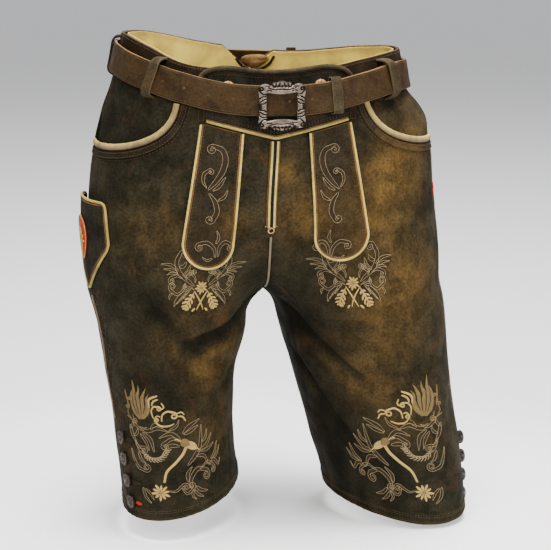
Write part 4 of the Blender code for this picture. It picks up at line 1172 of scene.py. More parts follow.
def add_tones(piece, side=None):
    """The hide's golden and dark places kept as two attributes; some dark patches, and on a
    leg the darkening in its creases and on the left leg's inner front, are painted shade, and
    the gold on the swell below each crease is painted highlight.
    """
    points = coordinates(piece)
    gold_and_highlight, shade = np.zeros(len(points)), np.zeros(len(points))
    front = ease(-points[:, 1], -0.03, 0.03)
    for patches, share in ((FRONT_PATCHES, front), (BACK_PATCHES, 1 - front)):
        for x, height, radius, strength in patches:
            off = ((points[:, 0] - x) ** 2 + (points[:, 2] - height) ** 2) / radius ** 2
            amount = share * abs(strength) * np.exp(-off)
            if strength > 0:
                gold_and_highlight += amount
            else:
                shade += amount
    if side is not None:
        centre = section(LEGS[side], points[:, 2])
        turn = np.arctan2(side * (points[:, 0] - centre[0]), centre[1] - points[:, 1])
        # Painted shade in each crease, and painted highlight on the swell below it.
        creased = crease(side, turn, points[:, 2])
        shade += 0.9 * np.maximum(creased, 0)
        gold_and_highlight = gold_and_highlight * (1 - 0.8 * np.clip(creased, 0, 1)) + 0.5 * np.maximum(-creased, 0)
        # Painted shade in a strip along the left leg's inner front, where it turns away from
        # the light.
        if side == LEFT:
            seam = np.radians(np.interp(points[:, 2], (-0.412, -0.246), (-84, -53)))
            strip = front * ease(seam - turn, 0, 0.12)
            shade += 0.8 * strip
            gold_and_highlight *= 1 - strip
    add_attribute(piece, "gold_and_highlight", np.clip(gold_and_highlight, 0, 1))
    add_attribute(piece, "shade", np.clip(shade, 0, 1))


def panel_surface(side, behind):
    def place(u, v, out):
        return skin(side, *panel_where(side, behind, u, v), out)
    return place


def build_panels(sizes):
    """Front and back panels, with lapped seams, a turned hem and small puckers."""
    for side, word in SIDES:
        for behind, where in ((False, "front"), (True, "back")):
            surface = panel_surface(side, behind)
            length = fork_height(side) - HEMS[side][1]

            def relief(u, v, behind=behind, length=length):
                up = v / FORK_ROW * length
                turned = sizes.hem_tall
                tall = 0.0008 * (1 - ease(up, turned - 0.0005, turned + 0.0014))
                tall = tall - 0.0004 * np.exp(-((up - turned - 0.0010) / 0.0011) ** 2)
                pucker = np.sin(u * 95 + 3 * np.sin(u * 17)) * np.exp(-up / 0.020)
                lap = 0.0004 * np.exp(-((u * 0.23 - 0.0035) / 0.0035) ** 2)
                wave = (np.sin(u * 31 + v * 23 + 2 * np.sin(v * 13))
                        * np.sin(v * 41 - u * 9 + 2 * np.sin(u * 11)))
                return tall + 0.00022 * pucker + lap + 0.00035 * wave
            piece = shell(surface, 96, 170, -LEATHER, 0, 0.0005,
                          warp_v=lambda s: np.interp(s, (0, 0.08, 0.90, 1),
                                                     (0, 0.036, 0.93, 1)),
                          relief=relief, lasting=("u0", "u1"))
            add_tones(piece, side)
            name = f"{where}_leather_{word}"
            settle(piece, name, "suede", "olive_suede", [f"{where}_panel_{word}"])

    # Tapes close the seams from inside.
    for name, side, low, high in (("back", LEFT, 0.97 * FORK_ROW, 0.995),
                                  ("side_right", RIGHT, 0.02, 0.995),
                                  ("side_left", LEFT, 0.02, 0.995)):
        v = np.linspace(low, high, 150)
        u = np.full(150, 1.0 if name == "back" else 0.0)
        line, deep = (panel_surface(side, True)(u, v, -LEATHER - off)
                      for off in (0.0006, 0.0012))
        settle(sweep(line, unit(line - deep), bar_profile(0.010, -0.0006, 0)),
               f"seam_tape_{name}", "dark", "dark_suede")


def build_waist():
    """Waistband, lining, hip facings and the seam rows round the waist."""
    for side, word in SIDES:
        for where, first, last in (("front", 0.1, 89.9), ("back", 90.1, 179.9)):
            def band(u, v, out, side=side, first=first, last=last):
                azimuth = side * np.radians(mix(first, last, u))
                top = waist(azimuth)[0] - notch(azimuth)
                return on_waist(azimuth, mix(waist_seam(azimuth), top, v), out)

            def swell(u, v):
                return (0.0005 * np.sin(np.pi * np.clip(v, 0, 1)) ** 0.5
                        + 0.0004 * np.sin(u * 40 + 3 * v) * np.sin(np.pi * v))
            piece = shell(band, 120, 14, -BAND_THICK, 0, 0.0010, relief=swell,
                          lasting=("u0", "u1"))
            settle(piece, f"waist_leather_{where}_{word}", "brown", "brown_leather",
                   [f"waistband_{where}_{word}"])

        def lining(u, v, out, side=side):
            azimuth = side * np.radians(mix(0.1, 179.9, u))
            top = waist(azimuth)[0] - 0.0005
            return on_waist(azimuth, top - mix(LINING_TALL, notch(azimuth), v), out)

        def ripples(u, v):
            soft = np.sin(u * 74 + 2.2 * np.sin(v * 4 + u * 9)) * (0.4 + 0.6 * (1 - v))
            fine = np.sin(u * 190 + 5 * v)
            return -0.0011 * (1 + soft) * ease(u, 0.0, 0.04) - 0.0002 * (1 + fine)
        piece = shell(lining, 260, 30, -LINING_IN - LINING_THICK, -LINING_IN, 0,
                      relief=ripples)
        # Painted shade: a dark band just under the rim, and darker again deep inside the
        # waist.
        points = coordinates(piece)
        near_rim = waist(azimuth_of(points))[0] - points[:, 2]
        add_attribute(piece, "shade", 0.75 * np.exp(-((near_rim - 0.004) / 0.005) ** 2)
                      + 0.5 * ease(near_rim, 0.05, 0.095))
        settle(piece, f"waist_lining_cloth_{word}", "lining", "cream_lining",
               [f"waist_lining_{word}"])

        start = MOUTHS[side][0]

        def facing(u, v, out, side=side, start=start):
            degrees = mix(start - 6, 89.6, u)
            azimuth = side * np.radians(degrees)
            below = mouth_height(side, side * np.radians(
                np.clip(degrees, start + 6, 89.5)))
            height = mix(below - 0.012, waist_seam(azimuth) - SEAM_GAP, v)
            flush = FACING_IN * ease(u, 0.62, 0.97) * ease(v, 0.30, 0.55)
            return on_waist(azimuth, height, out + flush)

        def soft_folds(u, v):
            wave = np.sin(15 * u - 9 * v + 1.5 * np.sin(5 * u))
            return (0.0017 * (wave + 1) * ease(v, 1, 0.8)
                    * ease(u, 0, 0.15) * ease(u, 1, 0.85) * ease(v, 0, 0.3))
        piece = shell(facing, 50, 34, -FACING_IN - FACING_THICK, -FACING_IN, 0.0004,
                      relief=soft_folds)
        add_tones(piece)
        settle(piece, f"hip_leather_{word}", "suede", "dark_suede", [f"hip_facing_{word}"])

    for side, word in SIDES:
        azimuth = side * np.radians(np.linspace(0.6, 179.4, 240))
        rows = []
        for drop in (0.0032, BAND_TALL - 0.0024):
            level = waist(azimuth)[0] - drop - (notch(azimuth) if drop < 0.01 else 0)
            line = on_waist(azimuth, level, 0.0006)
            rows.append(stitch_row(line, outs_of(on_waist, azimuth, level), 0.0024, 0.0033,
                                   lift=0.0001))
        settle(join(rows), f"waist_stitching_{word}", "seam_thread", "brown_leather")


def shade_below(piece):
    """Marks the faces that look down, for painted shade on their under sides."""
    add_attribute(piece, "shade", ease(-coordinates(piece, "normal")[:, 2], -0.65, 0.5))


def mouth_line(side, count=70):
    """The edge of the front panel at the pocket, and the directions outwards."""
    share = mouth_share(side)
    u = share * (1 - np.cos(np.linspace(0, 1, count) * math.pi)) / 2
    ones = np.ones_like(u)
    surface = panel_surface(side, False)
    return surface(u, ones, 0.0), outs_of(surface, u, ones)


def moved_beside(points, outs, distance, closed=False):
    """The line moved sideways on its surface, to its left seen from outside."""
    return points + unit(np.cross(outs, frames(points, closed))) * distance


def build_pockets(sizes):
    """The cream roll along each pocket mouth and the stitched band below it."""
    for side, word in SIDES:
        points, outs = mouth_line(side)
        points, outs = resample(points, 0.0022, False, outs)
        roll = moved_beside(points, outs, -side * (0.44 * ROLL_WIDE + GAP))
        middle = ROLL_THICK / 2 - LEATHER
        profile = round_profile(0.44 * ROLL_WIDE, 14, 1.06 * ROLL_THICK / ROLL_WIDE)
        wobble = 1 + 0.03 * np.sin(np.arange(len(roll)) * 1.9) * np.sin(
            np.arange(len(roll)) * 0.7)
        piece = sweep(roll + outs * middle, outs, profile, size=wobble)
        # Painted shade on the roll's under side.
        shade_below(piece)
        settle(piece, f"pocket_roll_leather_{word}", "roll", "cream_leather",
               [f"pocket_roll_{word}"])

        lip = moved_beside(points, outs, side * 0.0003) + outs * 0.0006
        piece = sweep(lip, outs, bar_profile(0.0010, -0.0004, 0.0006, 0.0002))
        settle(piece, f"pocket_lip_{word}", "brown", "brown_leather")

        band = moved_beside(points, outs, side * (POCKET_BAND / 2 + 0.0014))
        piece = sweep(band + outs * LIFT, outs, bar_profile(POCKET_BAND, -0.0003, 0.0010))
        add_tones(piece)
        settle(piece, f"pocket_band_leather_{word}", "tab", "brown_leather",
               [f"pocket_band_{word}"])
        rows = []
        for off in (0.0030, 0.0082):
            line = moved_beside(points, outs, side * off) + outs * 0.0016
            rows.append(seam_row(sizes, line[1:-1], outs[1:-1], thick=0.0007, lift=0.0))
        zigzag = moved_beside(points, outs, side * 0.0112) + outs * 0.0002
        rows.append(stitch_row(zigzag[1:-1], outs[1:-1], 0.0020, 0.0042, 0.0007, 0.0))
        settle(join(rows), f"pocket_stitching_{word}", "seam_thread", "brown_leather")


# ---------------------------------------------------------------- bib and tabs

def v_line(x):
    """Height of the bib's lower edge."""
    x = np.asarray(x, float)
    end_x = np.where(x >= 0, V_ENDS[LEFT][0], V_ENDS[RIGHT][0])
    end_height = np.where(x >= 0, V_ENDS[LEFT][1], V_ENDS[RIGHT][1])
    return mix(V_TIP, end_height, np.minimum(np.abs(x) / end_x, 1.0))


def tab_point(side, u, v, shrink):
    """x and height on a tab: u from its outer to its inner edge, v from its foot up."""
    inner_top, outer_top, inner_low, outer_low, turn_height, low = TABS[side]
    u, v = as_arrays(u, v)

    def x_at(height):
        share = np.minimum((height - V_ENDS[side][1]) / (turn_height - V_ENDS[side][1]), 1.0)
        outer = side * mix(outer_top, outer_low, share) - side * shrink
        inner = side * mix(inner_top, inner_low, share) + side * shrink
        return mix(outer, inner, u)
    drop = turn_height - low - shrink
    foot = turn_height - drop * np.sqrt(np.maximum(0.0, 1 - (2 * u - 1) ** 2))
    top = np.full(u.shape, V_TIP)
    for _ in range(4):
        top = v_line(x_at(top)) - CORD - 0.0008 - shrink / 2
    height = mix(foot, top, v)
    return x_at(height), height


def rounded_share(s):
    return (1 - np.cos(math.pi * s)) / 2


def front_outs(x, height):
    return outs_of(on_front, x, height)


def front_line(x, height, out):
    """A line laid on the front, and the directions outwards along it."""
    return on_front(x, height, out), front_outs(x, height)


def build_bib(sizes):
    """The drop front: its panel, rolled top, cream V, corners, buttons and stitches."""
    line = smooth_line([(x, 0, z) for x, z in BIB_TOP], 8)
    along = frames(line)
    inwards = np.stack([along[:, 2], 0 * along[:, 0], -along[:, 0]], -1)
    inner = line + inwards * (WELT + 0.0008)
    run = run_along(inner)

    def bib(u, v, out):
        x = np.interp(u * run[-1], run, inner[:, 0])
        top = np.interp(u * run[-1], run, inner[:, 2])
        return on_front(x, mix(v_line(x) + CORD + 2 * GAP, top, v), out)
    piece = shell(bib, 90, 30, LIFT, LIFT + BIB_THICK, 0.0005,
                  relief=lambda u, v: 0.0003 * np.sin(u * 22 + 3 * v) * np.sin(v * 9))
    add_tones(piece)
    settle(piece, "bib_leather", "dark", "dark_suede", ["bib"])

    top = resample(line, 0.0018)
    wobble = 1 + 0.025 * np.sin(np.arange(len(top)) * 1.7)
    settle(sweep(*front_line(top[:, 0], top[:, 2], WELT + LIFT), round_profile(WELT, 14),
                 size=wobble), "bib_roll", "loop", "brown_leather", ["bib_welt"])

    ends = [-V_ENDS[RIGHT][0], V_ENDS[LEFT][0]]
    x = np.concatenate([np.linspace(ends[0], -0.002, 40), np.linspace(0.002, ends[1], 40)])
    height = v_line(x)
    outs = front_outs(x, height)
    settle(sweep(on_front(x, height, CORD + LIFT), outs, round_profile(CORD_SEEN)),
           "bib_cream_edge", "cord", "cream_leather", ["bib_piping"])
    strip = on_front(x, height + CORD + 0.0004, 0.0014)
    settle(sweep(strip, outs, bar_profile(0.0016, 0, 0.0011, 0.0003)), "bib_tan_edge",
           "tan", "tan_leather")

    rows = []
    for rise in (0.0052, 0.0072):
        rows.append(seam_row(sizes, on_front(x, height + rise, LIFT + BIB_THICK), outs))
    inset = (inner + inwards * 0.0030)[4:-4]
    rows.append(seam_row(sizes, *front_line(inset[:, 0], inset[:, 2], LIFT + BIB_THICK)))
    settle(join(rows), "bib_stitching", "seam_thread", "dark_suede")

    for side, word in SIDES:
        middle = side * (V_ENDS[side][0] + CORNER_WIDE / 2 + CORD + GAP)
        low = V_ENDS[side][1]

        def corner(u, v, out, middle=middle, low=low):
            return on_front(middle + (u - 0.5) * CORNER_WIDE, low + v * CORNER_TALL, out)
        face = LIFT + BIB_THICK + GAP
        piece = shell(corner, 8, 12, face, face + 0.0010, 0.0003)
        settle(piece, f"bib_corner_leather_{word}", "brown", "brown_leather",
               [f"bib_corner_{word}"])
        spot = front_line(np.array(side * BIB_BUTTON_X), np.array(BIB_BUTTON_HEIGHT), face)
        piece = turned(((0, 0.0020), (0.003, 0.0021), (0.0045, 0.0027), (0.0065, 0.0026),
                        (0.0073, 0.0018), (0.0075, 0.0009), (0.0068, 0.0001), (0, 0)), *spot)
        settle(piece, f"bib_horn_button_{word}", "horn", "horn", [f"bib_button_{word}"])


def turned(profile, spot, out, sides=28, relief=None):
    """A lathe-turned piece from its top's middle down its outer side."""
    profile = smooth_line([(r, 0, h) for r, h in profile], 3)
    profile[:, 0] = np.maximum(profile[:, 0], 0)
    piece, shares = add_grid(sides, len(profile) - 1)
    k = np.round(shares[:, 1] * (len(profile) - 1)).astype(int)
    angle = np.round(shares[:, 0] * sides) * 2 * math.pi / sides
    radius, height = profile[k, 0], profile[k, 2].copy()
    if relief is not None:
        height = height + relief(radius, angle) * (height > 0.0015)
    turn = np.array(Vector(out).to_track_quat("Z", "Y").to_matrix())
    points = np.stack([radius * np.cos(angle), radius * np.sin(angle), height], -1)
    place_vertices(piece, points @ turn.T + np.asarray(spot))
    high = np.ones(len(points))
    if relief is not None:
        high = np.clip(0.55 + relief(radius, angle) / 0.0008, 0.1, 1)
    add_attribute(piece, "high", high)
    return closed_up(piece, 45)


def build_tabs(sizes):
    """The hanging tabs with cream piping, a tan edge and stitching."""
    for side, word in SIDES:
        def tab(u, v, out, side=side):
            x, height = tab_point(side, u, v, CORD + GAP)
            return on_front(x, height, out)
        piece = shell(tab, 34, 80, LIFT, LIFT + TAB_THICK, 0.0005, warp_u=rounded_share,
                      relief=lambda u, v: 0.00025 * np.sin(u * 7 + v * 25) * np.sin(v * 17))
        add_tones(piece)
        settle(piece, f"tab_leather_{word}", "tab", "dark_suede", [f"tab_{word}"])

        def outline(shrink, side=side):
            v = np.linspace(0.992, 0.0, 60)
            u = rounded_share(np.linspace(0, 1, 50))
            left = np.stack(tab_point(side, 0 * v, v, shrink), -1)
            foot = np.stack(tab_point(side, u, 0 * u, shrink), -1)
            right = np.stack(tab_point(side, 0 * v + 1, v[::-1], shrink), -1)
            flat = np.vstack([left[:-1], foot, right[1:]])
            flat = resample(np.stack([flat[:, 0], 0 * flat[:, 0], flat[:, 1]], -1), 0.0022)
            return flat[:, 0], flat[:, 2]
        settle(sweep(*front_line(*outline(0), CORD + LIFT), round_profile(PIPING)),
               f"tab_cream_edge_{word}", "cream", "cream_leather", [f"tab_piping_{word}"])
        settle(sweep(*front_line(*outline(0.0023), 0.0013),
                     bar_profile(0.0017, 0, 0.0012, 0.0003)),
               f"tab_tan_edge_{word}", "tan", "tan_leather")
        settle(seam_row(sizes, *front_line(*outline(0.0046), LIFT + TAB_THICK)),
               f"tab_stitching_{word}", "seam_thread", "dark_suede")


# ---------------------------------------------------------------- seams

def line_on_leg(side, turns, heights, lift):
    """A line laid on a leg, and the directions outwards along it."""
    return skin(side, turns, heights, lift), outward(side, turns, heights)


def hoop(centre, out, across, radius, count, profile):
    """A ring lying flat on the leather."""
    turn = np.linspace(0, 2 * math.pi, count, endpoint=False)[:, None]
    ring = centre + (across * np.cos(turn)
                     + np.cross(out, across) * np.sin(turn)) * radius
    return sweep(ring, np.tile(out, (count, 1)), profile, closed=True)


def fly_seam():
    """The pipings and the tape down the fly, with the ring and the tack at its foot."""
    height = np.linspace(FLY_TOP, FLY_BOTTOM, 70)
    for side, word in SIDES:
        x = middle_x(height) + side * FLY_HALF
        settle(sweep(*front_line(x, height, FLY_CORD + LIFT), round_profile(PIPING)),
               f"fly_cream_edge_{word}", "cream", "cream_leather", [f"fly_piping_{word}"])
        x = middle_x(height) + side * (FLY_HALF + FLY_CORD + 0.0006)
        settle(sweep(*front_line(x, height, LIFT),
                     bar_profile(0.0012, -0.0004, 0.0010, 0.0002)),
               f"fly_tan_edge_{word}", "tan", "tan_leather")
    settle(sweep(*front_line(middle_x(height), height, 0.0004),
                 bar_profile(2 * (FLY_HALF - FLY_CORD) + 0.0008, -0.0004, 0.0008, 0.0003)),
           "fly_tape", "tape", "dark_suede")

    low = FLY_BOTTOM - 0.004
    spot = on_front(middle_x(low), low, RING_WIRE + LIFT)
    out = front_outs(np.array(middle_x(low)), np.array(low))
    piece = hoop(spot, out, np.array([1.0, 0, 0]), RING_RADIUS, 36,
                 round_profile(RING_WIRE, 10))
    add_attribute(piece, "high", np.ones(len(piece.data.vertices)))
    settle(piece, "fly_ring_metal", "brass", "brass", ["fly_ring"])
    bar_x = middle_x(low) + np.linspace(-0.0056, 0.0056, 12)
    bar = [stitch_row(on_front(bar_x, low + rise, 0.0030 * (1 - (rise / 0.004) ** 2)),
                      front_outs(bar_x, low + rise + 0 * bar_x), 0.0030, 0.0022, 0.0010)
           for rise in (0.0042, 0.0053)]
    settle(join(bar), "fly_bar_tack", "pale", "cream_leather")


def build_seams(sizes):
    """Fly, fork, side and back seams with their pipings and stitches."""
    fly_seam()
    level = np.linspace(FLY_BOTTOM - 0.011, -0.240, 60)
    turns = [inner_turn(side, level, False) for side, _ in SIDES]
    spots = [shape(side, t, level) for (side, _), t in zip(SIDES, turns)]
    normals = [outward(side, t, level) for (side, _), t in zip(SIDES, turns)]
    outs = unit(normals[0] + normals[1])
    spread = np.minimum((outs * normals[0]).sum(1), (outs * normals[1]).sum(1))
    centres = (spots[0] + spots[1]) / 2 + outs * (3 * LIFT + CORD / spread)[:, None]
    settle(sweep(centres, outs, round_profile(PIPING)), "fork_cream_edge", "worn",
           "cream_leather", ["fork_piping"])

    for side, word in SIDES:
        top = SHEATH_POINT - 0.008 if side == RIGHT else MOUTHS[side][1] - 0.016
        level = np.linspace(top, BUTTONS[side][0] + 0.018, 130)
        turn = seam_turn(side, level)
        settle(sweep(*line_on_leg(side, turn, level, CORD + LIFT), round_profile(0.0011)),
               f"side_tan_edge_{word}", "worn", "cream_leather", [f"side_piping_{word}"])

        rows = []
        level = np.linspace(-0.11, HEMS[side][1] + 0.022, 160)
        for off in (0.0042, -0.0042):
            turn = seam_turn(side, level) + off / LEG_RADIUS
            rows.append(seam_row(sizes, *line_on_leg(side, turn, level, 0.0004)))
        back = np.linspace(-0.045, -0.235, 80)
        turn = inner_turn(side, back, True)
        for off in (0.0030, 0.0055):
            line = line_on_leg(side, turn + off / 0.11, back, 0.0002)
            rows.append(seam_row(sizes, *line))
        settle(join(rows), f"seam_stitching_{word}", "seam_thread", "olive_suede")

        rows = []
        for behind in (False, True):
            surface = panel_surface(side, behind)
            u = np.linspace(0.004, 0.996, 150)
            length = fork_height(side) - HEMS[side][1]
            for up in (sizes.hem_tall - 0.0020, sizes.hem_tall - 0.0042, 0.0022):
                v = np.full(u.shape, up / length * FORK_ROW)
                rows.append(stitch_row(surface(u, v, 0.0009), outs_of(surface, u, v),
                                       0.0021, 0.0031, lift=0.0))
        settle(join(rows), f"hem_stitching_{word}", "seam_thread", "olive_suede")


# ---------------------------------------------------------------- sheath

def sheath_point(u, v, out):
    """u from the sheath's front edge to its back edge, v from its foot to its mouth."""
    first, point, last = SHEATH_TURNS
    u, v = as_arrays(u, v)
    turn = np.radians(mix(first + SHEATH_LEAN * v, last, u))
    middle = (point - first) / (last - first)
    off = np.abs(u - middle) / np.where(u < middle, middle, 1 - middle)
    height = mix(mix(SHEATH_POINT, SHEATH_SHOULDER, off), SHEATH_TOP, v)
    crown = (1 - (2 * u - 1) ** 4) * ease(v, 0, 0.9)
    return skin(RIGHT, turn, height, LIFT + out + SHEATH_OPEN * crown)


def build_sheath(sizes):
    """The knife sheath: its leather, piping, stitches and a patch with an edelweiss."""
    piece = shell(sheath_point, 56, 60, 0, SHEATH_WALL, 0.0005,
                  relief=lambda u, v: 0.0003 * np.sin(u * 9 + v * 11) * np.sin(v * 13))
    add_tones(piece)
    settle(piece, "sheath_leather", "dark", "dark_suede", ["sheath"])

    middle = (SHEATH_TURNS[1] - SHEATH_TURNS[0]) / (SHEATH_TURNS[2] - SHEATH_TURNS[0])
    u_line = np.concatenate([np.linspace(0, middle, 12), np.linspace(middle, 1, 12)[1:]])
    rising = np.linspace(0, 1, 24)
    path = ([(u, 1) for u in u_line[:-1]] + [(1, v) for v in rising[:0:-1]]
            + [(u, 0) for u in u_line[:0:-1]] + [(0, v) for v in rising[:-1]])
    u, v = np.array(path).T
    edge, outs = sheath_point(u, v, SHEATH_WALL / 2), outs_of(sheath_point, u, v)
    edge, outs = resample(edge, 0.0030, True, outs)
    piping = moved_beside(edge, outs, -(CORD + 2 * GAP), True)
    piping = piping + outs * (CORD - SHEATH_WALL / 2)
    for _ in range(2):
        piping = 0.5 * piping + 0.25 * (np.roll(piping, 1, 0) + np.roll(piping, -1, 0))
    settle(sweep(piping, outs, round_profile(CORD_SEEN), closed=True), "sheath_cream_edge",
           "cord", "cream_leather", ["sheath_piping"])
    tan = moved_beside(edge, outs, 0.0008, True) + outs * (SHEATH_WALL / 2)
    settle(sweep(tan, outs, bar_profile(0.0016, -0.0003, 0.0008, 0.0003), closed=True),
           "sheath_tan_edge", "tan", "tan_leather")
    row = moved_beside(edge, outs, 0.0034, True) + outs * (SHEATH_WALL / 2)
    settle(seam_row(sizes, row, outs, closed=True), "sheath_stitching", "seam_thread",
           "dark_suede")
    sheath_badge()


def sheath_badge():
    """The oval patch on the sheath with its gold rim and edelweiss."""
    def patch(u, v, out):
        half = BADGE_HALF_U * np.sqrt(np.maximum(0.02, 1 - (2 * v - 1) ** 2))
        return sheath_point(mix(BADGE_U - half, BADGE_U + half, u),
                            mix(BADGE_V - BADGE_HALF_V, BADGE_V + BADGE_HALF_V, v), out)
    face = SHEATH_WALL + LIFT
    piece = shell(patch, 26, 36, face, face + 0.0010, 0.0003, warp_v=rounded_share)
    points = coordinates(piece)
    add_attribute(piece, "along", points[:, 2])
    add_attribute(piece, "beside", points[:, 1])
    settle(piece, "sheath_badge", "red", "patch_cloth", ["sheath_patch"])

    turn = np.linspace(0, 2 * math.pi, 60)

    def on_patch(x, y, out=0.0016):
        """Points on the patch, in shares of its half width and half height."""
        u, v = BADGE_U + BADGE_HALF_U * np.asarray(x), BADGE_V + BADGE_HALF_V * np.asarray(y)
        return sheath_point(u, v, SHEATH_WALL + out), outs_of(sheath_point, u, v)
    rim = on_patch(np.cos(turn) * 0.97, np.sin(turn) * 0.97)
    strokes = [(*rim, np.full(60, 0.0010), 0.0008)]
    strokes.append((*on_patch(0.1 * np.cos(turn), -0.06 + 0.07 * np.sin(turn), 0.0019),
                    np.full(60, 0.0012), 0.0010))
    settle(ribbons(strokes), "badge_gold_rim", "gold_thread", "patch_cloth")
    petals = []
    for i in range(8):
        angle = 2 * math.pi * (i + 0.5) / 8
        r = np.linspace(0.10, 0.62 if i % 2 else 0.74, 14)
        halves = 0.0017 * np.sin(np.linspace(0.12, 1, 14) * math.pi) ** 0.7 + 0.0001
        petals.append((*on_patch(r * math.cos(angle), -0.06 + 0.72 * r * math.sin(angle)),
                       0.85 * halves, 0.0007))
    stem = np.linspace(-0.50, -0.86, 10)
    petals.append((*on_patch(0.04 * np.sin(stem * 9), stem), np.full(10, 0.0006), 0.0006))
    settle(ribbons(petals), "badge_flower", "pale", "patch_cloth")


# ---------------------------------------------------------------- belt

def belt_point(degrees, v, out):
    """The belt winds once round the waist, and its end passes over its start."""
    azimuth = np.radians(degrees)
    _, height, stand = waist(azimuth)
    over = (BELT_THICK + GAP) * ease(degrees, 338, 355)
    x = waist_shape(azimuth, BUCKLE_HEIGHT)[..., 0] - BUCKLE_X
    bulge = np.where((np.cos(azimuth) > 0) & (degrees > 300),
                     1 - ease(np.abs(x), 0, WINDOW_WIDE / 2 - 0.001), 0.0)
    top = BELT_WIDE / 2 - 0.0045 * bulge
    height = height + mix(-BELT_WIDE / 2, top, v)
    stand = stand + over + 0.0030 * bulge * (1 - (2 * v - 1) ** 2)
    return on_waist(azimuth, height, stand + out)


def belt_surface(u, v, out):
    return belt_point(mix(BELT_START, BELT_END, u), v, out)


def belt_strap():
    """The belt with burnished edges, stitches and holes."""
    piece = shell(belt_surface, 520, 10, 0, BELT_THICK, 0.0008,
                  relief=lambda u, v: 0.0006 * (np.sin(np.pi * v) ** 0.4 - 1)
                  + 0.00022 * np.sin(u * 150 + 4 * np.sin(v * 3)) * np.sin(v * 5 + u * 60))
    settle(piece, "belt_strap", "belt", "brown_leather", ["belt"])

    degrees = np.linspace(BELT_START + 1, BELT_END - 1, 700)
    rows = []
    for v in (0.085, 0.915):
        level = np.full(degrees.shape, v)
        rows.append(stitch_row(belt_point(degrees, level, BELT_THICK - 0.0002),
                               outs_of(belt_point, degrees, level), 0.0022, 0.0034,
                               0.0004))
    settle(join(rows), "belt_stitching", "seam_thread", "brown_leather")

    holes, rims = [], []
    for degrees in BELT_HOLES:
        spot = np.array(degrees), np.array(0.5)
        centre, out = belt_point(*spot, BELT_THICK), outs_of(belt_point, *spot)
        holes.append(turned(((0, 0.0002), (0.0008, 0.0002), (0.0010, 0.0000),
                             (0.0010, -0.0006), (0, -0.0006)), centre, out, 14))
        rims.append(hoop(centre, out, unit(np.cross([0, 0, 1.0], out)), 0.0011, 20,
                         round_profile(0.0003, 6)))
    # Each hole is a dark plug: painted shade inside the hole.
    settle(join(holes), "belt_holes", "tape", "brown_leather")
    settle(join(rims), "belt_hole_rims", "tan", "brown_leather")


def belt_keeper():
    """The ring of leather that holds the belt's free end."""
    azimuth = math.radians(KEEPER_AZIMUTH)
    _, middle, stand = waist(azimuth)
    deep = BELT_THICK + GAP / 2 + LIFT + KEEPER_THICK / 2
    tall = BELT_WIDE / 2 + KEEPER_ROOM + KEEPER_THICK / 2
    turn = np.linspace(0, 2 * math.pi, 72, endpoint=False)
    c, s = np.cos(turn), np.sin(turn)
    ahead = np.sign(c) * np.abs(c) ** 0.3 * deep
    level = middle + np.sign(s) * np.abs(s) ** 0.3 * tall
    line = on_waist(azimuth + 0 * turn, level, stand + BELT_THICK + GAP / 2 + ahead)
    line = resample(line, 0.0022, True)
    centre = line.mean(0)
    along = frames(line, True)
    sideways = unit(on_waist(azimuth + 0.05, middle) - on_waist(azimuth - 0.05, middle))
    outs = unit(np.cross(along, sideways))
    outs = outs * np.sign(((line - centre) * outs).sum(1).sum())
    half = STRAP_WIDE / 2 + 0.0003
    piece = sweep(line, outs, bar_profile(2 * half, -KEEPER_THICK / 2, KEEPER_THICK / 2),
                  closed=True)
    cut_edges(piece, half)
    add_tones(piece)
    settle(piece, "keeper_leather", "loop", "dark_suede", ["belt_keeper"])


def belt_loops():
    """The loops that carry the belt; the two in front show a cut edge."""
    for i, (degrees, room, lean) in enumerate(LOOPS):
        azimuth = math.radians(degrees)
        rim, middle, stand = waist(azimuth)
        layers = 2 if BELT_START < degrees < BELT_END - 360 else 1
        in_front = i in (0, 5)
        reach = stand + layers * (BELT_THICK + GAP) + (0.8 * room if in_front else 0.0003)
        on_facing = MOUTHS[RIGHT][0] < abs(degrees) < 90
        low = middle - BELT_WIDE / 2 - 0.0042
        high = max(rim - 0.006, middle + BELT_WIDE / 2 + 0.0032)
        foot = -0.0022 - (FACING_IN if on_facing else 0)
        share = rounded_share(np.linspace(0, 1, 24))
        rise = (1 - np.abs(2 * share - 1) ** 8) ** 0.5
        levels = np.concatenate([[low - 0.0004], mix(low, high, share), [high + 0.0004]])
        off = np.concatenate([[foot], mix(foot, -0.001, share) + (reach + 0.002) * rise,
                              [-0.002]])
        swing = np.radians(lean) * ((levels - low) / (high - low) - 0.5)
        line = on_waist(azimuth + swing, levels, off)
        line = resample(smooth_line(line, 4), 0.0016)
        sideways = unit(on_waist(azimuth + 0.01, middle) - on_waist(azimuth - 0.01, middle))
        outs = unit(np.cross(sideways, frames(line)))
        piece = sweep(line, outs, bar_profile(STRAP_WIDE, -0.0007, STRAP_THICK))
        if in_front:
            cut_edges(piece, STRAP_WIDE / 2)
        add_tones(piece)
        settle(piece, f"loop_leather_{i + 1}", "loop" if in_front else "dark",
               "dark_suede", [f"belt_loop_{i + 1}"])


def build_belt():
    """The belt, its keeper and its loops."""
    belt_strap()
    belt_keeper()
    belt_loops()


def curl(x, y, heading, length, bend_a, bend_b, count=40):
    """A scroll from (x, y): its bend, in turns per metre, changes evenly along it."""
    s = np.linspace(0, length, count)
    turn = math.radians(heading) + 2 * math.pi * (bend_a * s + (bend_b - bend_a) * s * s
                                                  / (2 * length))
    step = length / (count - 1)
    return (x + np.concatenate([[0], np.cumsum(np.cos(turn[:-1]) * step)]),
            y + np.concatenate([[0], np.cumsum(np.sin(turn[:-1]) * step)]))


def swelling(count, most, least=0.0002, power=0.8):
    return least + (most - least) * np.sin(np.linspace(0.03, 0.97, count) * math.pi) ** power


# A quarter of the buckle's outline in millimetres, from its side to its crest.
BUCKLE_OUTLINE = ((25.4, 0), (24.9, 4), (24.7, 8), (25.4, 12), (26.0, 16), (25.4, 20),
                  (23.6, 23.6), (19.4, 25.2), (15.2, 24.6), (12.4, 23.0), (11.2, 23.4),
                  (11.0, 24.8), (8.6, 26.6), (5.4, 26.5), (3.4, 27.6), (0, 28.0))

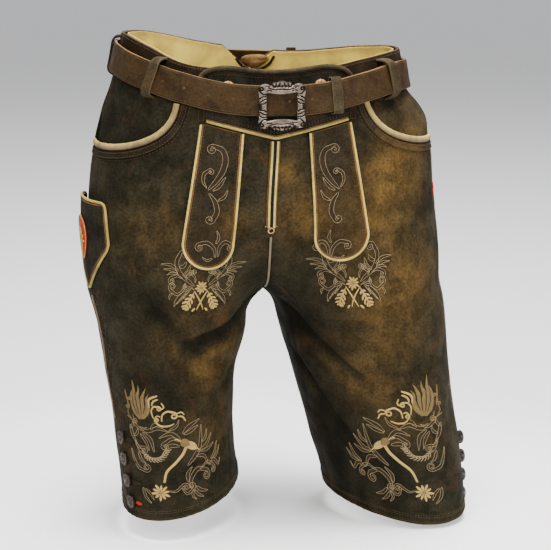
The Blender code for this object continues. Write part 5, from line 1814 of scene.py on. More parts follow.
# Its engraved cuts in the same quarter: half width, way of turning and radius of the
# volute they end in, then marks.
BUCKLE_CUTS = (
    (0.65, 1, 3.6, 17.0, 13.6, 20.4, 13.8, 23.6, 16.6),
    (0.60, 0, 0, 17.6, 11.4, 21.0, 11.2, 24.2, 9.6),
    (0.60, 0, 0, 17.4, 8.4, 20.6, 7.6, 24.0, 5.4),
    (0.60, -1, 2.4, 17.4, 5.2, 19.4, 3.6, 23.2, 3.4),
    (0.55, 0, 0, 0, 19.2, 6.0, 18.6, 11.0, 19.4, 14.6, 20.8),
    (0.55, 0, 0, 11.4, 17.4, 13.6, 18.2, 16.2, 17.6),
    (0.55, -1, 1.5, 2.4, 25.8, 2.6, 23.2, 0.6, 22.0),
    (0.55, -1, 1.4, 6.6, 25.2, 6.6, 22.8, 4.8, 21.8),
    (0.55, -1, 1.2, 10.0, 24.2, 9.8, 22.2, 8.4, 21.4),
    (0.50, 0, 0, 13.4, 22.0, 15.6, 22.4, 17.4, 22.0))


def build_buckle():
    """The cast buckle: a waved frame, engraved with scrolls at its corners and crests."""
    quarter = np.array(BUCKLE_OUTLINE) / 1000
    loop = np.vstack([quarter, quarter[-2::-1] * (-1, 1), quarter[1:] * (-1, -1),
                      quarter[-2:0:-1] * (1, -1)])
    loop = smooth_line(np.stack([loop[:, 0], 0 * loop[:, 0], loop[:, 1]], -1), 8, True)
    outer = resample(loop, 0.00050, True)[:, ::2]
    outer[:, 1] *= np.where(outer[:, 1] < 0, 0.94, 1)
    x, y = outer.T
    ray = np.minimum(WINDOW_WIDE / 2 / np.maximum(np.abs(x), 1e-6),
                     WINDOW_TALL / 2 / np.maximum(np.abs(y), 1e-6))
    window = outer * ray[:, None]
    arch = np.cos(np.clip(window[:, 0] / WINDOW_WIDE, -0.5, 0.5) * math.pi)
    top = np.abs(window[:, 1]) > WINDOW_TALL / 2 - 0.0008
    window[:, 1] -= np.where(top, np.sign(window[:, 1]) * 0.0020 * arch, 0)
    front = float(waist_shape(0.0, BUCKLE_HEIGHT)[1])
    centre = np.array([BUCKLE_X, front - BUCKLE_OUT - BUCKLE_THICK + 0.0008,
                       BUCKLE_HEIGHT])

    count, rings = len(outer), 26
    piece, shares = add_grid(count, rings)
    k = np.round(shares[:, 1] * rings).astype(int)
    i = np.round(shares[:, 0] * count).astype(int) % count
    share = np.clip((k - 1) / (rings - 2), 0, 1)
    flat = mix(outer[i], window[i], share[:, None])
    dome = 0.0011 * (1 - np.abs(2 * share - 1) ** 4)
    near = np.full(len(flat), 9.0)
    for wide, spin, radius, *marks in BUCKLE_CUTS:
        line = np.stack(through(marks, spin, radius, 1.4), -1)
        off = np.linalg.norm(np.abs(flat)[:, None] - line[None], axis=2).min(1)
        near = np.minimum(near, off / wide * 800)
    cut = np.exp(-near ** 2)
    high = np.where((k == 0) | (k == rings), -0.0022, dome - 0.0016 * cut)
    points = np.stack([flat[:, 0], -high, flat[:, 1]], -1) + centre
    place_vertices(piece, points)
    add_attribute(piece, "high", np.where(high < -0.0016, 0.2, 1 - 0.98 * ease(
        cut, 0.08, 0.5)) * mix(0.15, 1.0, ease(dome, 0.0, 0.0009)))
    closed_up(piece, 50, fill=bpy.ops.mesh.bridge_edge_loops)
    settle(piece, "buckle_metal", "pewter", "pewter", ["buckle"])


# ---------------------------------------------------------------- buttons

def build_buttons():
    """Leg buttons with a struck rosette, and the worked slits beside them."""
    profile = ((0, 0.0042), (0.0020, 0.0041), (0.0042, 0.0039), (0.0058, 0.0035),
               (0.0066, 0.0037), (0.0074, 0.0036), (0.0080, 0.0026), (0.0079, 0.0019),
               (0.0072, 0.0014), (0.0024, 0.0012), (0.0020, 0.0002), (0, 0.0))

    def rosette(radius, angle):
        petals = 0.00035 * np.cos(8 * angle) * np.exp(-((radius - 0.0036) / 0.0016) ** 2)
        rope = 0.00016 * np.cos(36 * angle) * np.exp(-((radius - 0.0070) / 0.0007) ** 2)
        return petals + rope
    for side, word in SIDES:
        top, step, turn_top, turn_low = BUTTONS[side]
        slits, red = [], []
        for i in range(4):
            height = top - i * step
            turn = math.radians(mix(turn_top, turn_low, i / 3))
            low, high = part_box(f"leg_button_{word}_{i + 1}")
            out = outward(side, turn, height)
            spot = skin(side, turn, height, 0.0006)
            middle = (np.array(low) + np.array(high)) / 2
            spot = spot + out * ((middle - spot) @ out - 0.0021)
            if side == LEFT:
                spot = spot + np.array([0.0012, -0.0042, 0])
                out = unit(out + np.array([0, -0.85, 0.15]))
            piece = turned(profile, spot, out, 56, rosette)
            settle(piece, f"button_metal_{word}_{i + 1}", "struck", "pewter",
                   [f"leg_button_{word}_{i + 1}"])
            reach = np.linspace(0.0060, 0.0145 if i == 3 else 0.0175, 18)
            turns = turn - reach / 0.085
            for off in (-0.0011, 0.0011):
                bow = off * np.sin(np.linspace(0.1, 1, 18) * math.pi) ** 0.6
                line = line_on_leg(side, turns, height + bow + 0 * turns, 0.0004)
                (red if i == 3 else slits).append((*line, swelling(18, 0.0009, 0.0004),
                                                   0.0008))
            if i == 3:
                line = line_on_leg(side, turns, height + 0 * turns, 0.0004)
                red.append((*line, swelling(18, 0.0015, 0.0003), 0.0009))
        settle(ribbons(slits), f"buttonholes_{word}", "olive_thread", "olive_suede")
        settle(ribbons(red), f"buttonhole_red_{word}", "red", "patch_cloth")


# ---------------------------------------------------------------- back notch

def build_gusset():
    """The folded tan wedge in the back notch, with its thong."""
    face = -LINING_IN - LINING_THICK - GAP
    wide, deep, tall = GUSSET_SIZE
    middle = math.pi - math.radians(GUSSET_OFF)
    place = on_waist(np.array(middle), np.array(GUSSET_HEIGHT), face - deep)
    lobes = ((0, 0, 0, 1.0, 1.0, 1.0), (-0.0070, -0.0016, 0.0026, 0.50, 0.75, 0.50),
             (0.0060, -0.0018, 0.0034, 0.55, 0.75, 0.42),
             (0.0010, -0.0024, -0.0012, 0.60, 0.70, 0.44))
    parts = []
    for x, y, z, sx, sy, sz in lobes:
        clear_selection()
        bpy.ops.mesh.primitive_uv_sphere_add(segments=40, ring_count=22, radius=1)
        piece = bpy.context.active_object
        p = coordinates(piece)
        angle = np.arctan2(p[:, 2], p[:, 0])
        crumple = 1 + 0.10 * np.sin(angle * 3 + x * 900) * (1 - p[:, 1] ** 2)
        narrow = 1 - 0.35 * np.maximum(0, -p[:, 2])
        p = np.stack([p[:, 0] * wide * narrow * sx * crumple + x,
                      p[:, 1] * deep * sy - y, p[:, 2] * tall * sz * crumple + z], -1)
        p[:, 1] = -np.abs(p[:, 1]) * 0.9 + 0.1 * p[:, 1] if sx < 1 else p[:, 1]
        place_vertices(piece, p + place)
        parts.append(rounded(piece, 60))
    settle(join(parts), "gusset_leather", "tan", "tan_leather", ["gusset"])
    offs, rises = np.array(THONG_LINE, float).T
    line = smooth_line(on_waist(middle + np.radians(offs), GUSSET_HEIGHT + rises,
                                face - THONG), 6)
    outs = unit(np.stack([line[:, 0] * 0.2, -np.ones(len(line)), 0 * line[:, 0]], -1))
    piece = sweep(line, outs, round_profile(THONG, 10))
    add_tones(piece)
    settle(piece, "gusset_thong_leather", "dark", "dark_suede", ["gusset_thong"])


# ---------------------------------------------------------------- embroidery

def on_leg(side, turn, height, wide=1.0, tall=1.0):
    """Lays a flat drawing on a leg: x to the right and y up, from a turn and height."""
    turn, centre = math.radians(turn), section(LEGS[side], height)[:2]
    reach = float(np.linalg.norm(shape(side, turn, height)[:2] - centre)) / wide

    def place(x, y, lift):
        return line_on_leg(side, turn + side * x / reach, height + tall * y, lift)
    return place


def on_tab(x_middle, height):
    def place(x, y, lift):
        return front_line(x_middle + x, height + y, LIFT + TAB_THICK + lift)
    return place


def sewn(drawing, place, way, names):
    """Sews a drawing's strokes; each of its kinds becomes a piece of its own thread."""
    for kind, strokes in drawing.items():
        if not strokes:
            continue
        x, y, halves, heights, lifts = zip(*strokes)
        counts = [len(stroke) for stroke in x]
        points, outs = place(np.concatenate(x) * way, np.concatenate(y),
                             np.repeat(lifts, counts))
        cuts = np.cumsum(counts)[:-1]
        settle(ribbons(zip(np.split(points, cuts), np.split(outs, cuts), halves, heights)),
               *names[kind])


def new_drawing():
    return {"ground": [], "bronze": [], "pale": [], "plume": []}


def flipped(strokes):
    return [(-x, y, halves, tall, lift) for x, y, halves, tall, lift in strokes]


def band(drawing, x, y, wide, bulb=0.5, kind="bronze", thin=0.00019):
    """A scroll drawn by its two edges over a dark ground; it is widest part way."""
    s = np.linspace(0, 1, len(x))
    along = frames(np.stack([x, y, 0 * x], -1))
    half = wide * (0.10 + 0.90 * np.sin(np.minimum(s ** 0.75, 1) * math.pi) ** 0.85)
    half = np.maximum(half, wide * bulb * ease(s, 0.6, 1))
    drawing["ground"].append((x, y, half, 0.00025, 0.0))
    for way in (-1, 1):
        drawing[kind].append((x - along[:, 1] * half * way, y + along[:, 0] * half * way,
                              np.full(len(x), thin), 0.0004, 0.0003))


def through(marks, spin=0, radius=0.0, turns=1.15):
    """A smooth line through marks in millimetres; it can end in a volute."""
    marks = np.array(marks, float).reshape(-1, 2) / 1000
    line = smooth_line(np.column_stack([marks, 0 * marks[:, 0]]), 8)
    x, y = resample(line, 0.0010)[:, :2].T
    if spin:
        heading = math.degrees(math.atan2(y[-1] - y[-2], x[-1] - x[-2]))
        radius = radius / 1000
        long = turns * 2 * math.pi * radius / 1.93
        cx, cy = curl(x[-1], y[-1], heading, long, spin / (2 * math.pi * radius),
                      2.86 * spin / (2 * math.pi * radius), 26)
        x, y = np.concatenate([x, cx[1:]]), np.concatenate([y, cy[1:]])
    return x, y


def fronds(drawing, rows, kind="bronze"):
    """Pointed leaves drawn by their edges: half width, then marks in millimetres."""
    for wide, *marks in rows:
        band(drawing, *through(marks), wide / 1000, 0.02, kind)


def tendrils(drawing, rows, kind="bronze"):
    """Scrolls ending in volutes: half width, way of turning, radius, then marks."""
    for wide, spin, radius, *marks in rows:
        band(drawing, *through(marks, spin, radius), wide / 1000, 0.55, kind)


def cords(drawing, rows, kind="pale", tall=0.0008):
    """Plain cords of satin stitch: half width, way, radius, then marks."""
    for wide, spin, radius, *marks in rows:
        x, y = through(marks, spin, radius)
        drawing[kind].append((x, y, swelling(len(x), wide / 1000, wide / 3000, 0.5), tall,
                              0.0001))


def satin(drawing, x, y, heading, length, bend_a, bend_b, wide, kind="pale", count=30,
          power=0.8, tall=0.0010):
    """A scroll or a leaf filled with satin stitch."""
    x, y = curl(x, y, heading, length, bend_a, bend_b, count)
    drawing[kind].append((x, y, swelling(count, wide, 0.0003, power), tall, 0.0001))


def flower(drawing, radius, wide=0.15):
    """An edelweiss: pointed petals, two lengths in turn, round a beaded middle."""
    turn = np.linspace(0, 2 * math.pi, 25)
    for share in (0.42, 0.75):
        drawing["ground"].append((radius * share * np.cos(turn), radius * share *
                                  np.sin(turn), np.full(25, radius * 0.22), 0.0002, 0.0))
    for i in range(10):
        angle = 2 * math.pi * (i + 0.25) / 10
        r = np.linspace(0.24, 1.0 if i % 2 else 0.84, 14) * radius
        drawing["pale"].append((r * math.cos(angle), r * math.sin(angle),
                                swelling(14, radius * wide, 0.0002, 0.7), 0.0009, 0.0002))
    for i in range(7):
        spot = radius * (0.20 if i else 0.0)
        cx, cy = spot * math.cos(i * math.pi / 3), spot * math.sin(i * math.pi / 3)
        drawing["pale"].append((cx + radius * 0.03 * np.cos(turn[::3]),
                                cy + radius * 0.03 * np.sin(turn[::3]),
                                np.full(9, radius * 0.055), 0.0011, 0.0006))


def oak_leaf(drawing, x, y, heading, length, wide):
    """An oak leaf: a stem and round lobes in pairs."""
    satin(drawing, x, y, heading, length, 2, -4, wide * 0.13, count=20, tall=0.0014)
    sx, sy = curl(x, y, heading, length, 2, -4, 20)
    way = np.degrees(np.arctan2(np.gradient(sy), np.gradient(sx)))
    drawing["ground"].append((sx, sy, swelling(20, wide * 0.75), 0.0002, 0.0))
    for k, share in ((3, 0.55), (7, 0.85), (11, 0.95), (15, 0.75), (18, 0.42)):
        for turn in (-1, 1):
            satin(drawing, sx[k], sy[k], way[k] + 52 * turn, wide * share, 10 * turn,
                  -40 * turn, wide * 0.155, count=10, power=0.6)


def grain_ear(drawing, marks, wide=0.00045, kind="bronze", size=0.0050):
    """An ear: short pointed grains in pairs along a bent stalk."""
    sx, sy = through(marks)
    drawing[kind].append((sx, sy, np.full(len(sx), 0.0003), 0.0005, 0.0001))
    way = np.degrees(np.arctan2(np.gradient(sy), np.gradient(sx)))
    for k in range(4, len(sx), 3):
        for turn in (-42, 42):
            satin(drawing, sx[k], sy[k], way[k] + turn, size, 0, -turn, wide, kind, 8)


def thigh_drawing():
    """An edelweiss between oak leaves, with winged scrolls spreading from it."""
    d = new_drawing()
    flower(d, 0.0080)
    half = new_drawing()
    # the wing: a tall hooked scroll with feathers outside it and leaves within
    tendrils(half, (
        (2.4, 1, 5.6, 9, 2, 16, 8, 24, 14, 29, 22, 30, 31, 26, 39),
        (1.4, -1, 4.8, 23, 11, 30, 14, 36, 12), (1.4, 1, 5.8, 20, 6, 22, -2, 29, -7, 36, -3),
        (1.1, 1, 3.8, 8, 6, 8, 11, 11, 15), (1.1, 1, 3.8, 18, 9, 20, 14, 17, 18),
        (1.0, 1, 3.2, 9, -2, 14, 1, 18, 0)))
    fronds(half, (
        (1.5, 28, 20, 37, 26, 49, 27), (1.3, 29, 18, 38, 21, 46, 21),
        (1.1, 29, 16, 37, 17, 42, 15), (1.7, 23, 14, 17, 19, 14, 27),
        (1.1, 20, 12, 16, 14, 10, 21),
        (1.8, 27, 24, 22, 25, 19, 30), (1.0, 35, -6, 38, -9, 38, -13),
        (2.5, 15, -3, 23, -8, 29, -14, 32, -21),
        (0.8, 18, -6, 24, -12, 29, -18), (1.2, 13, -1, 18, -6, 21, -12)))
    # oak leaves, and stems that cross under the flower
    oak_leaf(half, 0.0085, -0.0050, -62, 0.0215, 0.0082)
    satin(half, 0.0085, -0.0035, -124, 0.0255, 0, 3, 0.0009)
    satin(half, -0.0060, -0.0240, -150, 0.0050, 0, 60, 0.0012)
    for kind in d:
        d[kind] += half[kind] + flipped(half[kind])
    return d


def hem_drawing():
    """A leaf plume in a crest, an acorn and an edelweiss; x runs to the inseam."""
    d = new_drawing()
    # the plume: broad pointed leaves from one foot, the slits between them dark
    for wide, *marks in ((3.4, -15, 82, -22, 90, -25, 99, -25, 107, -22, 114),
                         (3.4, -14, 82, -19, 93, -21, 104, -21, 113, -23, 124),
                         (3.6, -13, 82, -15, 94, -17, 105, -15, 112, -15, 119),
                         (3.4, -12, 82, -10, 93, -11, 103, -9, 110, -6, 117),
                         (2.8, -11, 83, -6, 91, -5, 99, -6, 105, -3, 111)):
        x, y = through(marks)
        s = np.linspace(0, 1, len(x))
        d["plume"].append((x, y, wide / 1000 * np.minimum(1, 0.5 + 2 * s)
                           * np.minimum(1, 2.0 * (1 - s)) ** 0.9 + 0.0001, 0.0008, 0.0001))
    for *marks, in ((-17, 86, -22, 96, -23, 106), (-15, 86, -17.5, 98, -19, 110),
                    (-12.5, 87, -12.5, 97, -13, 109), (-10.5, 88, -8, 96, -8, 106)):
        x, y = through(marks)
        d["ground"].append((x, y, swelling(len(x), 0.0006), 0.0004, 0.0009))
    # the crest: pale curls on one side of the plume, thin brown ones on the other
    cords(d, ((1.3, 0, 0, -3.4, 96, -3, 105, 5.6, 110), (1.1, 0, 0, -0.5, 98, 1, 103, 6, 106),
              (1.1, -1, 3.2, 0, 84, -1.5, 92, 1, 97, 5, 97.5),
              (0.9, 0, 0, 8, 94, 11, 97, 9, 102),
              (1.2, -1, 4.8, 8, 81, 9, 88, 14, 92, 20, 90.5),
              (1.1, -1, 3.0, 20, 78, 14, 75.5, 6, 76, 2, 80),
              (1.1, 0, 0, 24, 86, 29, 85, 32, 80),
              (0.9, 0, 0, 23, 89, 28, 90, 31, 87), (0.9, 0, 0, 1, 84, 4, 87, 7, 86)))
    cords(d, ((0.8, 1, 2.8, -28, 80, -33, 84, -32, 90),
              (0.8, -1, 2.6, -29, 90, -32, 96, -31, 101),
              (0.9, 0, 0, -29, 92, -32, 100, -34, 111), (0.9, 0, 0, -23, 76, -28, 79, -35, 81),
              (0.8, 0, 0, -25, 85, -23, 79, -20, 75)), "plume")
    # the scrolls below it
    tendrils(d, ((1.4, -1, 4.0, -8, 73, -15, 70, -22, 74),
                 (1.7, 1, 4.6, 26, 57, 17, 61, 9, 56),
                 (1.5, 1, 6.0, -30, 46, -27, 36, -22, 27, -15, 24),
                 (1.3, -1, 5.0, 8, 2, 15, 1, 23, 7),
                 (1.4, 1, 5.2, 22, 4, 27, -3, 34, 1),
                 (2.2, -1, 7.5, 32, 2, 34, 14, 43, 23, 54, 20),
                 (1.3, -1, 4.2, -24, 56, -20, 50, -14, 50),
                 (1.5, -1, 5.4, 46, 22, 58, 28, 68, 22)))
    fronds(d, (
        (2.0, -16, 73, -8, 69, 3, 73, 14, 69), (1.7, -4, 71, 1, 77, 7, 75, 12, 76),
        (1.2, 14, 70, 22, 75, 25, 82), (2.1, 28, 66, 35, 73, 48, 80),
        (1.8, 29, 65, 37, 68, 46, 73),
        (2.1, -31, 72, -27, 62, -21, 54), (1.5, -30, 68, -26, 73, -25, 79),
        (1.4, -25, 61, -20, 65, -19, 71),
        (1.8, -22, 54, -17, 46, -10, 42), (1.8, -13, 67, -5, 60, -2, 46),
        (1.5, -16, 65, -10, 57, -7, 47),
        (1.9, 26, 58, 16, 67, 4, 62), (2.0, 24, 52, 14, 53, 9, 45),
        (1.5, -20, 44, -17, 36, -12, 32),
        (1.6, -19, 4, -17, -6, -11, -13), (1.4, -16, 3, -11, -2, -8, -9),
        (2.3, 31, 29, 40, 38, 48, 50, 50, 73), (2.0, 44, 43, 56, 47, 66, 60),
        (1.8, 48, 43, 59, 43, 70, 48),
        (1.8, 42, 38, 53, 36, 59, 25), (1.5, 50, 53, 56, 57, 58, 66),
        (1.8, 60, 24, 70, 28, 79, 21, 84, 27),
        (1.8, 64, 30, 72, 36, 77, 48), (1.5, 68, 30, 77, 33, 83, 42),
        (1.7, 38, 4, 45, -2, 54, -4),
        (1.5, 36, 0, 40, -6, 47, -10), (1.3, 35, 1, 33, -6, 37, -11),
        (1.9, 30, 10, 30, 19, 36, 27)))
    grain_ear(d, (-16, 45, -7, 38, 4, 39, 12, 49))
    # the acorn on its bent stalk
    x, y = through((5, 12, 9, 24, 19, 34, 27, 43, 31, 51))
    d["pale"].append((x, y, 0.0013 + 0.0006 * np.linspace(0, 1, len(x)), 0.0014, 0.0001))
    for kind, wide, *marks in (("pale", 4.4, 30, 54.5, 36, 51.5, 43, 47),
                               ("plume", 4.9, 25, 57, 29, 55.4, 34, 52.8)):
        x, y = through(marks)
        s = np.linspace(-0.97, 0.97, len(x))
        d[kind].append((x, y, wide / 1000 * (1 - s * s) ** 0.45,
                        0.0022 if kind == "pale" else 0.0026, 0.0001))
    cords(d, ((0.8, 0, 0, 42, 47.5, 45, 46, 47, 44),
              (0.9, 0, 0, 26, 57, 22, 60, 19, 60)), tall=0.0012)
    flower(d, 0.0098)
    return d


def tab_drawing():
    """Acanthus scrolls down a tab; x runs to the front's middle, from their joint."""
    d = new_drawing()
    tendrils(d, ((3.0, 1, 5.6, -6, -1, 3, 9, 10, 20, 13, 32, 10, 42, 2, 46),
                 (1.6, -1, 3.4, -7.5, 1, -11, 8, -10, 16, -5, 20),
                 (2.6, -1, 4.6, -5, -5, 1, -14, 3, -25, -1, -34),
                 (1.9, 1, 5.2, 1, -77, 0, -67, -7, -60, -15, -61),
                 (1.8, -1, 4.8, 4, -76, 6, -65, 12, -59, 18, -62)))
    fronds(d, ((1.6, -1, -2, 6, 3, 13, 13), (1.4, 4, -13, 11, -9, 15, -1),
               (1.3, 2, -61, 5, -54, 3, -46), (1.2, -2, -78, -8, -80, -13, -76)))
    return d


THREADS = {"ground": ("ground", "brown_leather"), "bronze": ("bronze", "olive_suede"),
           "pale": ("pale", "cream_leather"), "plume": ("plume", "tan_leather")}


def named(stem, word):
    return {kind: (f"{stem}_{kind}_{word}", *THREADS[kind]) for kind in THREADS}


def side_vine():
    """The dark vine down the right leg, beside the side seam, and the red leaf."""
    vine = new_drawing()
    low = -0.410
    for i in range(9):
        way = 1 if i % 2 else -1
        y = 0.01975 * i
        for given in ((0.0, y - 0.010, 90 - 14 * way, 0.028, 6 * way, 22 * way, 0.0030, 0.02),
                      (0.001 * way, y, 90 - 34 * way, 0.018, -20 * way, -76 * way, 0.0015,
                       0.8)):
            band(vine, *curl(*given[:6], 28), *given[6:], thin=0.00035)

    def place(x, y, lift):
        turn = seam_turn(RIGHT, low + y) - 0.105 + RIGHT * x / 0.090
        return line_on_leg(RIGHT, turn, low + y, lift)
    sewn({"ground": vine["ground"], "bronze": vine["bronze"]}, place, 1,
         {"ground": ("vine_ground", "ground", "brown_leather"),
          "bronze": ("vine_lines", "olive_thread", "olive_suede")})
    red = {"pale": []}
    for heading in (62, 100, 135):
        satin(red, 0.002, -0.008, heading, 0.020, 4, -10, 0.0026, count=20)
    satin(red, 0.002, -0.008, -80, 0.009, 0, 10, 0.0009, count=12)
    sewn(red, on_leg(LEFT, 74, -0.147), 1, {"pale": ("hip_red_leaf", "red", "patch_cloth")})


def build_embroidery():
    """Thigh, hem and tab motifs on both sides, and the vine on the right leg."""
    for side, word, thigh, hem, tab in (
            (RIGHT, "right", (-9.0, -0.2285, 0.92, 1.0), (17.5, -0.4690, 1.12, 1.04),
             (-0.0675, -0.1165)),
            (LEFT, "left", (-7.0, -0.2290, 0.95, 1.08), (13.5, -0.4830, 1.12, 1.12),
             (0.0640, -0.1190))):
        sewn(thigh_drawing(), on_leg(side, *thigh), 1, named("thigh", word))
        sewn(hem_drawing(), on_leg(side, *hem), -side, named("hem", word))
        sewn(tab_drawing(), on_tab(*tab), -side, named("tab", word))
    side_vine()


# ---------------------------------------------------------------- stage

FLOOR_WIDE = 30.0
IMAGE_WIDE, FOCAL_LENGTH = 551, 2610.0    # pixels
SENSOR_WIDE = 36                          # millimetres
# Lamps: name, place, power, size and colour.
LAMPS = (
    ("key", (-1.3, -2.3, 1.5), 72, 1.5, (1.0, 0.98, 0.95)),
    ("fill", (1.9, -2.2, 0.5), 52, 1.8, (0.98, 0.99, 1.0)),
    ("top", (0.1, -0.2, 1.8), 210, 1.6, (1.0, 0.99, 0.98)),
    ("back", (0.6, 1.0, 1.3), 22, 1.0, (1.0, 1.0, 1.0)),
)


def build_stage(sizes):
    """A wide pale floor, soft lights and the camera."""
    bpy.ops.mesh.primitive_plane_add(size=FLOOR_WIDE, location=(0, 0, sizes.floor_height))
    bpy.ops.object.transform_apply(location=True, rotation=False, scale=False)
    piece = bpy.context.active_object
    piece.name = piece.data.name = "backdrop"
    piece.data.materials.append(finish("paper"))

    for name, place, power, size, tone in LAMPS:
        bpy.ops.object.light_add(type="AREA", location=place)
        lamp = bpy.context.active_object
        lamp.name = name
        lamp.data.energy = power
        lamp.data.size = size
        lamp.data.color = tone
        aim = Vector((0, 0, -0.22)) - Vector(place)
        lamp.rotation_euler = aim.to_track_quat("-Z", "Y").to_euler()
    world = bpy.data.worlds.new("studio")
    world.use_nodes = True
    light = world.node_tree.nodes["Background"]
    light.inputs["Color"].default_value = (0.93, 0.95, 1.0, 1)
    light.inputs["Strength"].default_value = 0.50
    bpy.context.scene.world = world

    azimuth, rise, away = math.radians(-8.0), math.radians(13.0), 3.0
    aim = Vector((0.0177, 0, -0.244))
    back = Vector((math.sin(azimuth) * math.cos(rise), -math.cos(azimuth) * math.cos(rise),
                   math.sin(rise)))
    bpy.ops.object.camera_add(location=aim + back * away)
    camera = bpy.context.active_object
    camera.name = "camera"
    camera.rotation_euler = (-back).to_track_quat("-Z", "Y").to_euler()
    camera.data.lens = FOCAL_LENGTH / IMAGE_WIDE * SENSOR_WIDE
    camera.data.sensor_width = SENSOR_WIDE
    bpy.context.scene.camera = camera


# ---------------------------------------------------------------- the add-on

class LederhosenSizes(bpy.types.PropertyGroup):
    """Sizes of the sewing."""
    stitch_long: bpy.props.FloatProperty(
        name="Stitch length", description="Length of one seam stitch",
        default=0.0025, min=0.001, max=0.006, subtype="DISTANCE", unit="LENGTH")
    stitch_pitch: bpy.props.FloatProperty(
        name="Stitch pitch", description="Distance from one stitch to the next",
        default=0.0036, min=0.0015, max=0.01, subtype="DISTANCE", unit="LENGTH")
    hem_tall: bpy.props.FloatProperty(
        name="Hem", description="Height of the turned hem",
        default=0.0125, min=0.006, max=0.03, subtype="DISTANCE", unit="LENGTH")
    floor_height: bpy.props.FloatProperty(
        name="Floor", description="Height of the studio floor",
        default=-0.5275, min=-2.0, max=0.0, subtype="DISTANCE", unit="LENGTH")


def colour_property(label, text, value):
    return bpy.props.FloatVectorProperty(name=label, description=text, subtype="COLOR",
                                         size=3, min=0, max=1, default=value)


class LederhosenColours(bpy.types.PropertyGroup):
    """Colours of the hide, the threads and the metal."""
    olive: colour_property("Olive", "The body leather's middle tone",
                           (0.0154, 0.0126, 0.0065))
    dark_olive: colour_property("Dark olive", "Bib, tabs and loops",
                                (0.0095, 0.0083, 0.0056))
    antique_gold: colour_property("Antique gold", "Rubbed golden places",
                                  (0.097, 0.0535, 0.0125))
    brown: colour_property("Brown", "Waistband and belt", (0.0200, 0.0122, 0.0056))
    cream: colour_property("Cream", "Pipings and pocket rolls", (0.50, 0.375, 0.100))
    tan: colour_property("Tan", "Cut edges and the gusset", (0.120, 0.062, 0.021))
    lining: colour_property("Lining", "Cotton lining", (0.86, 0.65, 0.110))
    pale_thread: colour_property("Pale thread", "Filled embroidery", (0.46, 0.32, 0.105))
    bronze_thread: colour_property("Bronze thread", "Outline embroidery",
                                   (0.38, 0.29, 0.155))
    pewter: colour_property("Pewter", "Buckle and buttons", (0.200, 0.156, 0.124))
    backdrop: colour_property("Backdrop", "The studio paper", (0.92, 0.92, 0.92))


class LEDERHOSEN_OT_panels(bpy.types.Operator):
    """Front and back panels with their hems and folds."""
    bl_idname = "lederhosen.panels"
    bl_label = "Leather panels"
    bl_options = {"REGISTER", "UNDO"}

    def execute(self, context):
        build_panels(context.scene.lederhosen_sizes)
        return {"FINISHED"}


class LEDERHOSEN_OT_waist(bpy.types.Operator):
    """Waistband, lining and the facings under the pockets."""
    bl_idname = "lederhosen.waist"
    bl_label = "Waistband and lining"
    bl_options = {"REGISTER", "UNDO"}

    def execute(self, context):
        build_waist()
        return {"FINISHED"}


class LEDERHOSEN_OT_pockets(bpy.types.Operator):
    """Cream rolls and stitched bands along the pocket mouths."""
    bl_idname = "lederhosen.pockets"
    bl_label = "Pocket rolls"
    bl_options = {"REGISTER", "UNDO"}

    def execute(self, context):
        build_pockets(context.scene.lederhosen_sizes)
        return {"FINISHED"}


class LEDERHOSEN_OT_bib(bpy.types.Operator):
    """The drop front with its rolled edge, piping and buttons."""
    bl_idname = "lederhosen.bib"
    bl_label = "Bib"
    bl_options = {"REGISTER", "UNDO"}

    def execute(self, context):
        build_bib(context.scene.lederhosen_sizes)
        return {"FINISHED"}


class LEDERHOSEN_OT_tabs(bpy.types.Operator):
    """The two hanging tabs with piping and stitching."""
    bl_idname = "lederhosen.tabs"
    bl_label = "Hanging tabs"
    bl_options = {"REGISTER", "UNDO"}

    def execute(self, context):
        build_tabs(context.scene.lederhosen_sizes)
        return {"FINISHED"}


class LEDERHOSEN_OT_seams(bpy.types.Operator):
    """Pipings and stitches of the fly, fork, sides, back and hems."""
    bl_idname = "lederhosen.seams"
    bl_label = "Seams"
    bl_options = {"REGISTER", "UNDO"}

    def execute(self, context):
        build_seams(context.scene.lederhosen_sizes)
        return {"FINISHED"}


class LEDERHOSEN_OT_sheath(bpy.types.Operator):
    """The sheath on the right leg, with its badge."""
    bl_idname = "lederhosen.sheath"
    bl_label = "Knife sheath"
    bl_options = {"REGISTER", "UNDO"}

    def execute(self, context):
        build_sheath(context.scene.lederhosen_sizes)
        return {"FINISHED"}


class LEDERHOSEN_OT_belt(bpy.types.Operator):
    """The belt, its holes and stitches, the keeper and the loops."""
    bl_idname = "lederhosen.belt"
    bl_label = "Belt, keeper and loops"
    bl_options = {"REGISTER", "UNDO"}

    def execute(self, context):
        build_belt()
        return {"FINISHED"}


class LEDERHOSEN_OT_buckle(bpy.types.Operator):
    """The cast buckle."""
    bl_idname = "lederhosen.buckle"
    bl_label = "Buckle"
    bl_options = {"REGISTER", "UNDO"}

    def execute(self, context):
        build_buckle()
        return {"FINISHED"}


class LEDERHOSEN_OT_buttons(bpy.types.Operator):
    """Buttons and buttonholes at the hems."""
    bl_idname = "lederhosen.buttons"
    bl_label = "Leg buttons"
    bl_options = {"REGISTER", "UNDO"}

    def execute(self, context):
        build_buttons()
        return {"FINISHED"}


class LEDERHOSEN_OT_gusset(bpy.types.Operator):
    """The folded wedge and the thong in the back notch."""
    bl_idname = "lederhosen.gusset"
    bl_label = "Back gusset"
    bl_options = {"REGISTER", "UNDO"}

    def execute(self, context):
        build_gusset()
        return {"FINISHED"}


class LEDERHOSEN_OT_embroidery(bpy.types.Operator):
    """Embroidery on the thighs, hems, tabs and side."""
    bl_idname = "lederhosen.embroidery"
    bl_label = "Embroidery"
    bl_options = {"REGISTER", "UNDO"}

    def execute(self, context):
        build_embroidery()
        return {"FINISHED"}


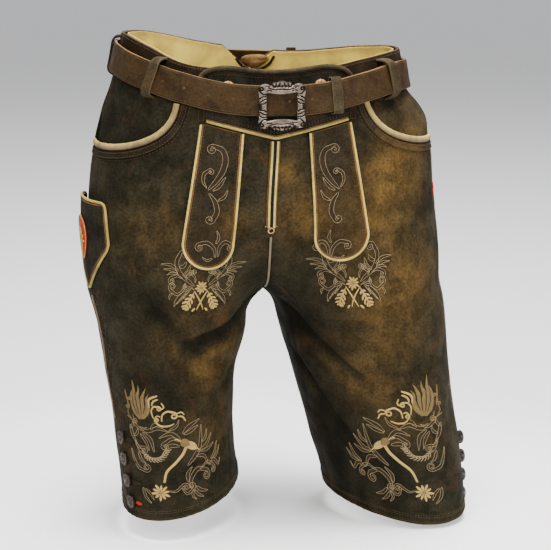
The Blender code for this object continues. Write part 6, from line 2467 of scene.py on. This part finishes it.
class LEDERHOSEN_OT_stage(bpy.types.Operator):
    """Backdrop, lights and camera."""
    bl_idname = "lederhosen.stage"
    bl_label = "Stage"
    bl_options = {"REGISTER", "UNDO"}

    def execute(self, context):
        build_stage(context.scene.lederhosen_sizes)
        return {"FINISHED"}


OPERATORS = (
    LEDERHOSEN_OT_panels,
    LEDERHOSEN_OT_waist,
    LEDERHOSEN_OT_pockets,
    LEDERHOSEN_OT_bib,
    LEDERHOSEN_OT_tabs,
    LEDERHOSEN_OT_seams,
    LEDERHOSEN_OT_sheath,
    LEDERHOSEN_OT_belt,
    LEDERHOSEN_OT_buckle,
    LEDERHOSEN_OT_buttons,
    LEDERHOSEN_OT_gusset,
    LEDERHOSEN_OT_embroidery,
    LEDERHOSEN_OT_stage,
)


class LEDERHOSEN_PT_panel(bpy.types.Panel):
    """Lists the sizes, the colours and the operators in the order they are used."""
    bl_idname = "LEDERHOSEN_PT_panel"
    bl_label = "Lederhosen"
    bl_space_type = "VIEW_3D"
    bl_region_type = "UI"
    bl_category = "Lederhosen"

    def draw(self, context):
        for group in (context.scene.lederhosen_sizes, context.scene.lederhosen_colours):
            for name in type(group).__annotations__:
                self.layout.prop(group, name)
        for operator in OPERATORS:
            self.layout.operator(operator.bl_idname)


CLASSES = (LederhosenSizes, LederhosenColours, *OPERATORS, LEDERHOSEN_PT_panel)


def register():
    for added in CLASSES:
        bpy.utils.register_class(added)
    bpy.types.Scene.lederhosen_sizes = bpy.props.PointerProperty(type=LederhosenSizes)
    bpy.types.Scene.lederhosen_colours = bpy.props.PointerProperty(type=LederhosenColours)


def unregister():
    del bpy.types.Scene.lederhosen_sizes
    del bpy.types.Scene.lederhosen_colours
    for added in reversed(CLASSES):
        bpy.utils.unregister_class(added)


def main():
    register()
    clear_selection()
    for operator in OPERATORS:
        group, name = operator.bl_idname.split(".")
        getattr(getattr(bpy.ops, group), name)()
    bpy.data.objects.remove(stitch_pattern(), do_unlink=True)


if __name__ == "__main__":
    main()
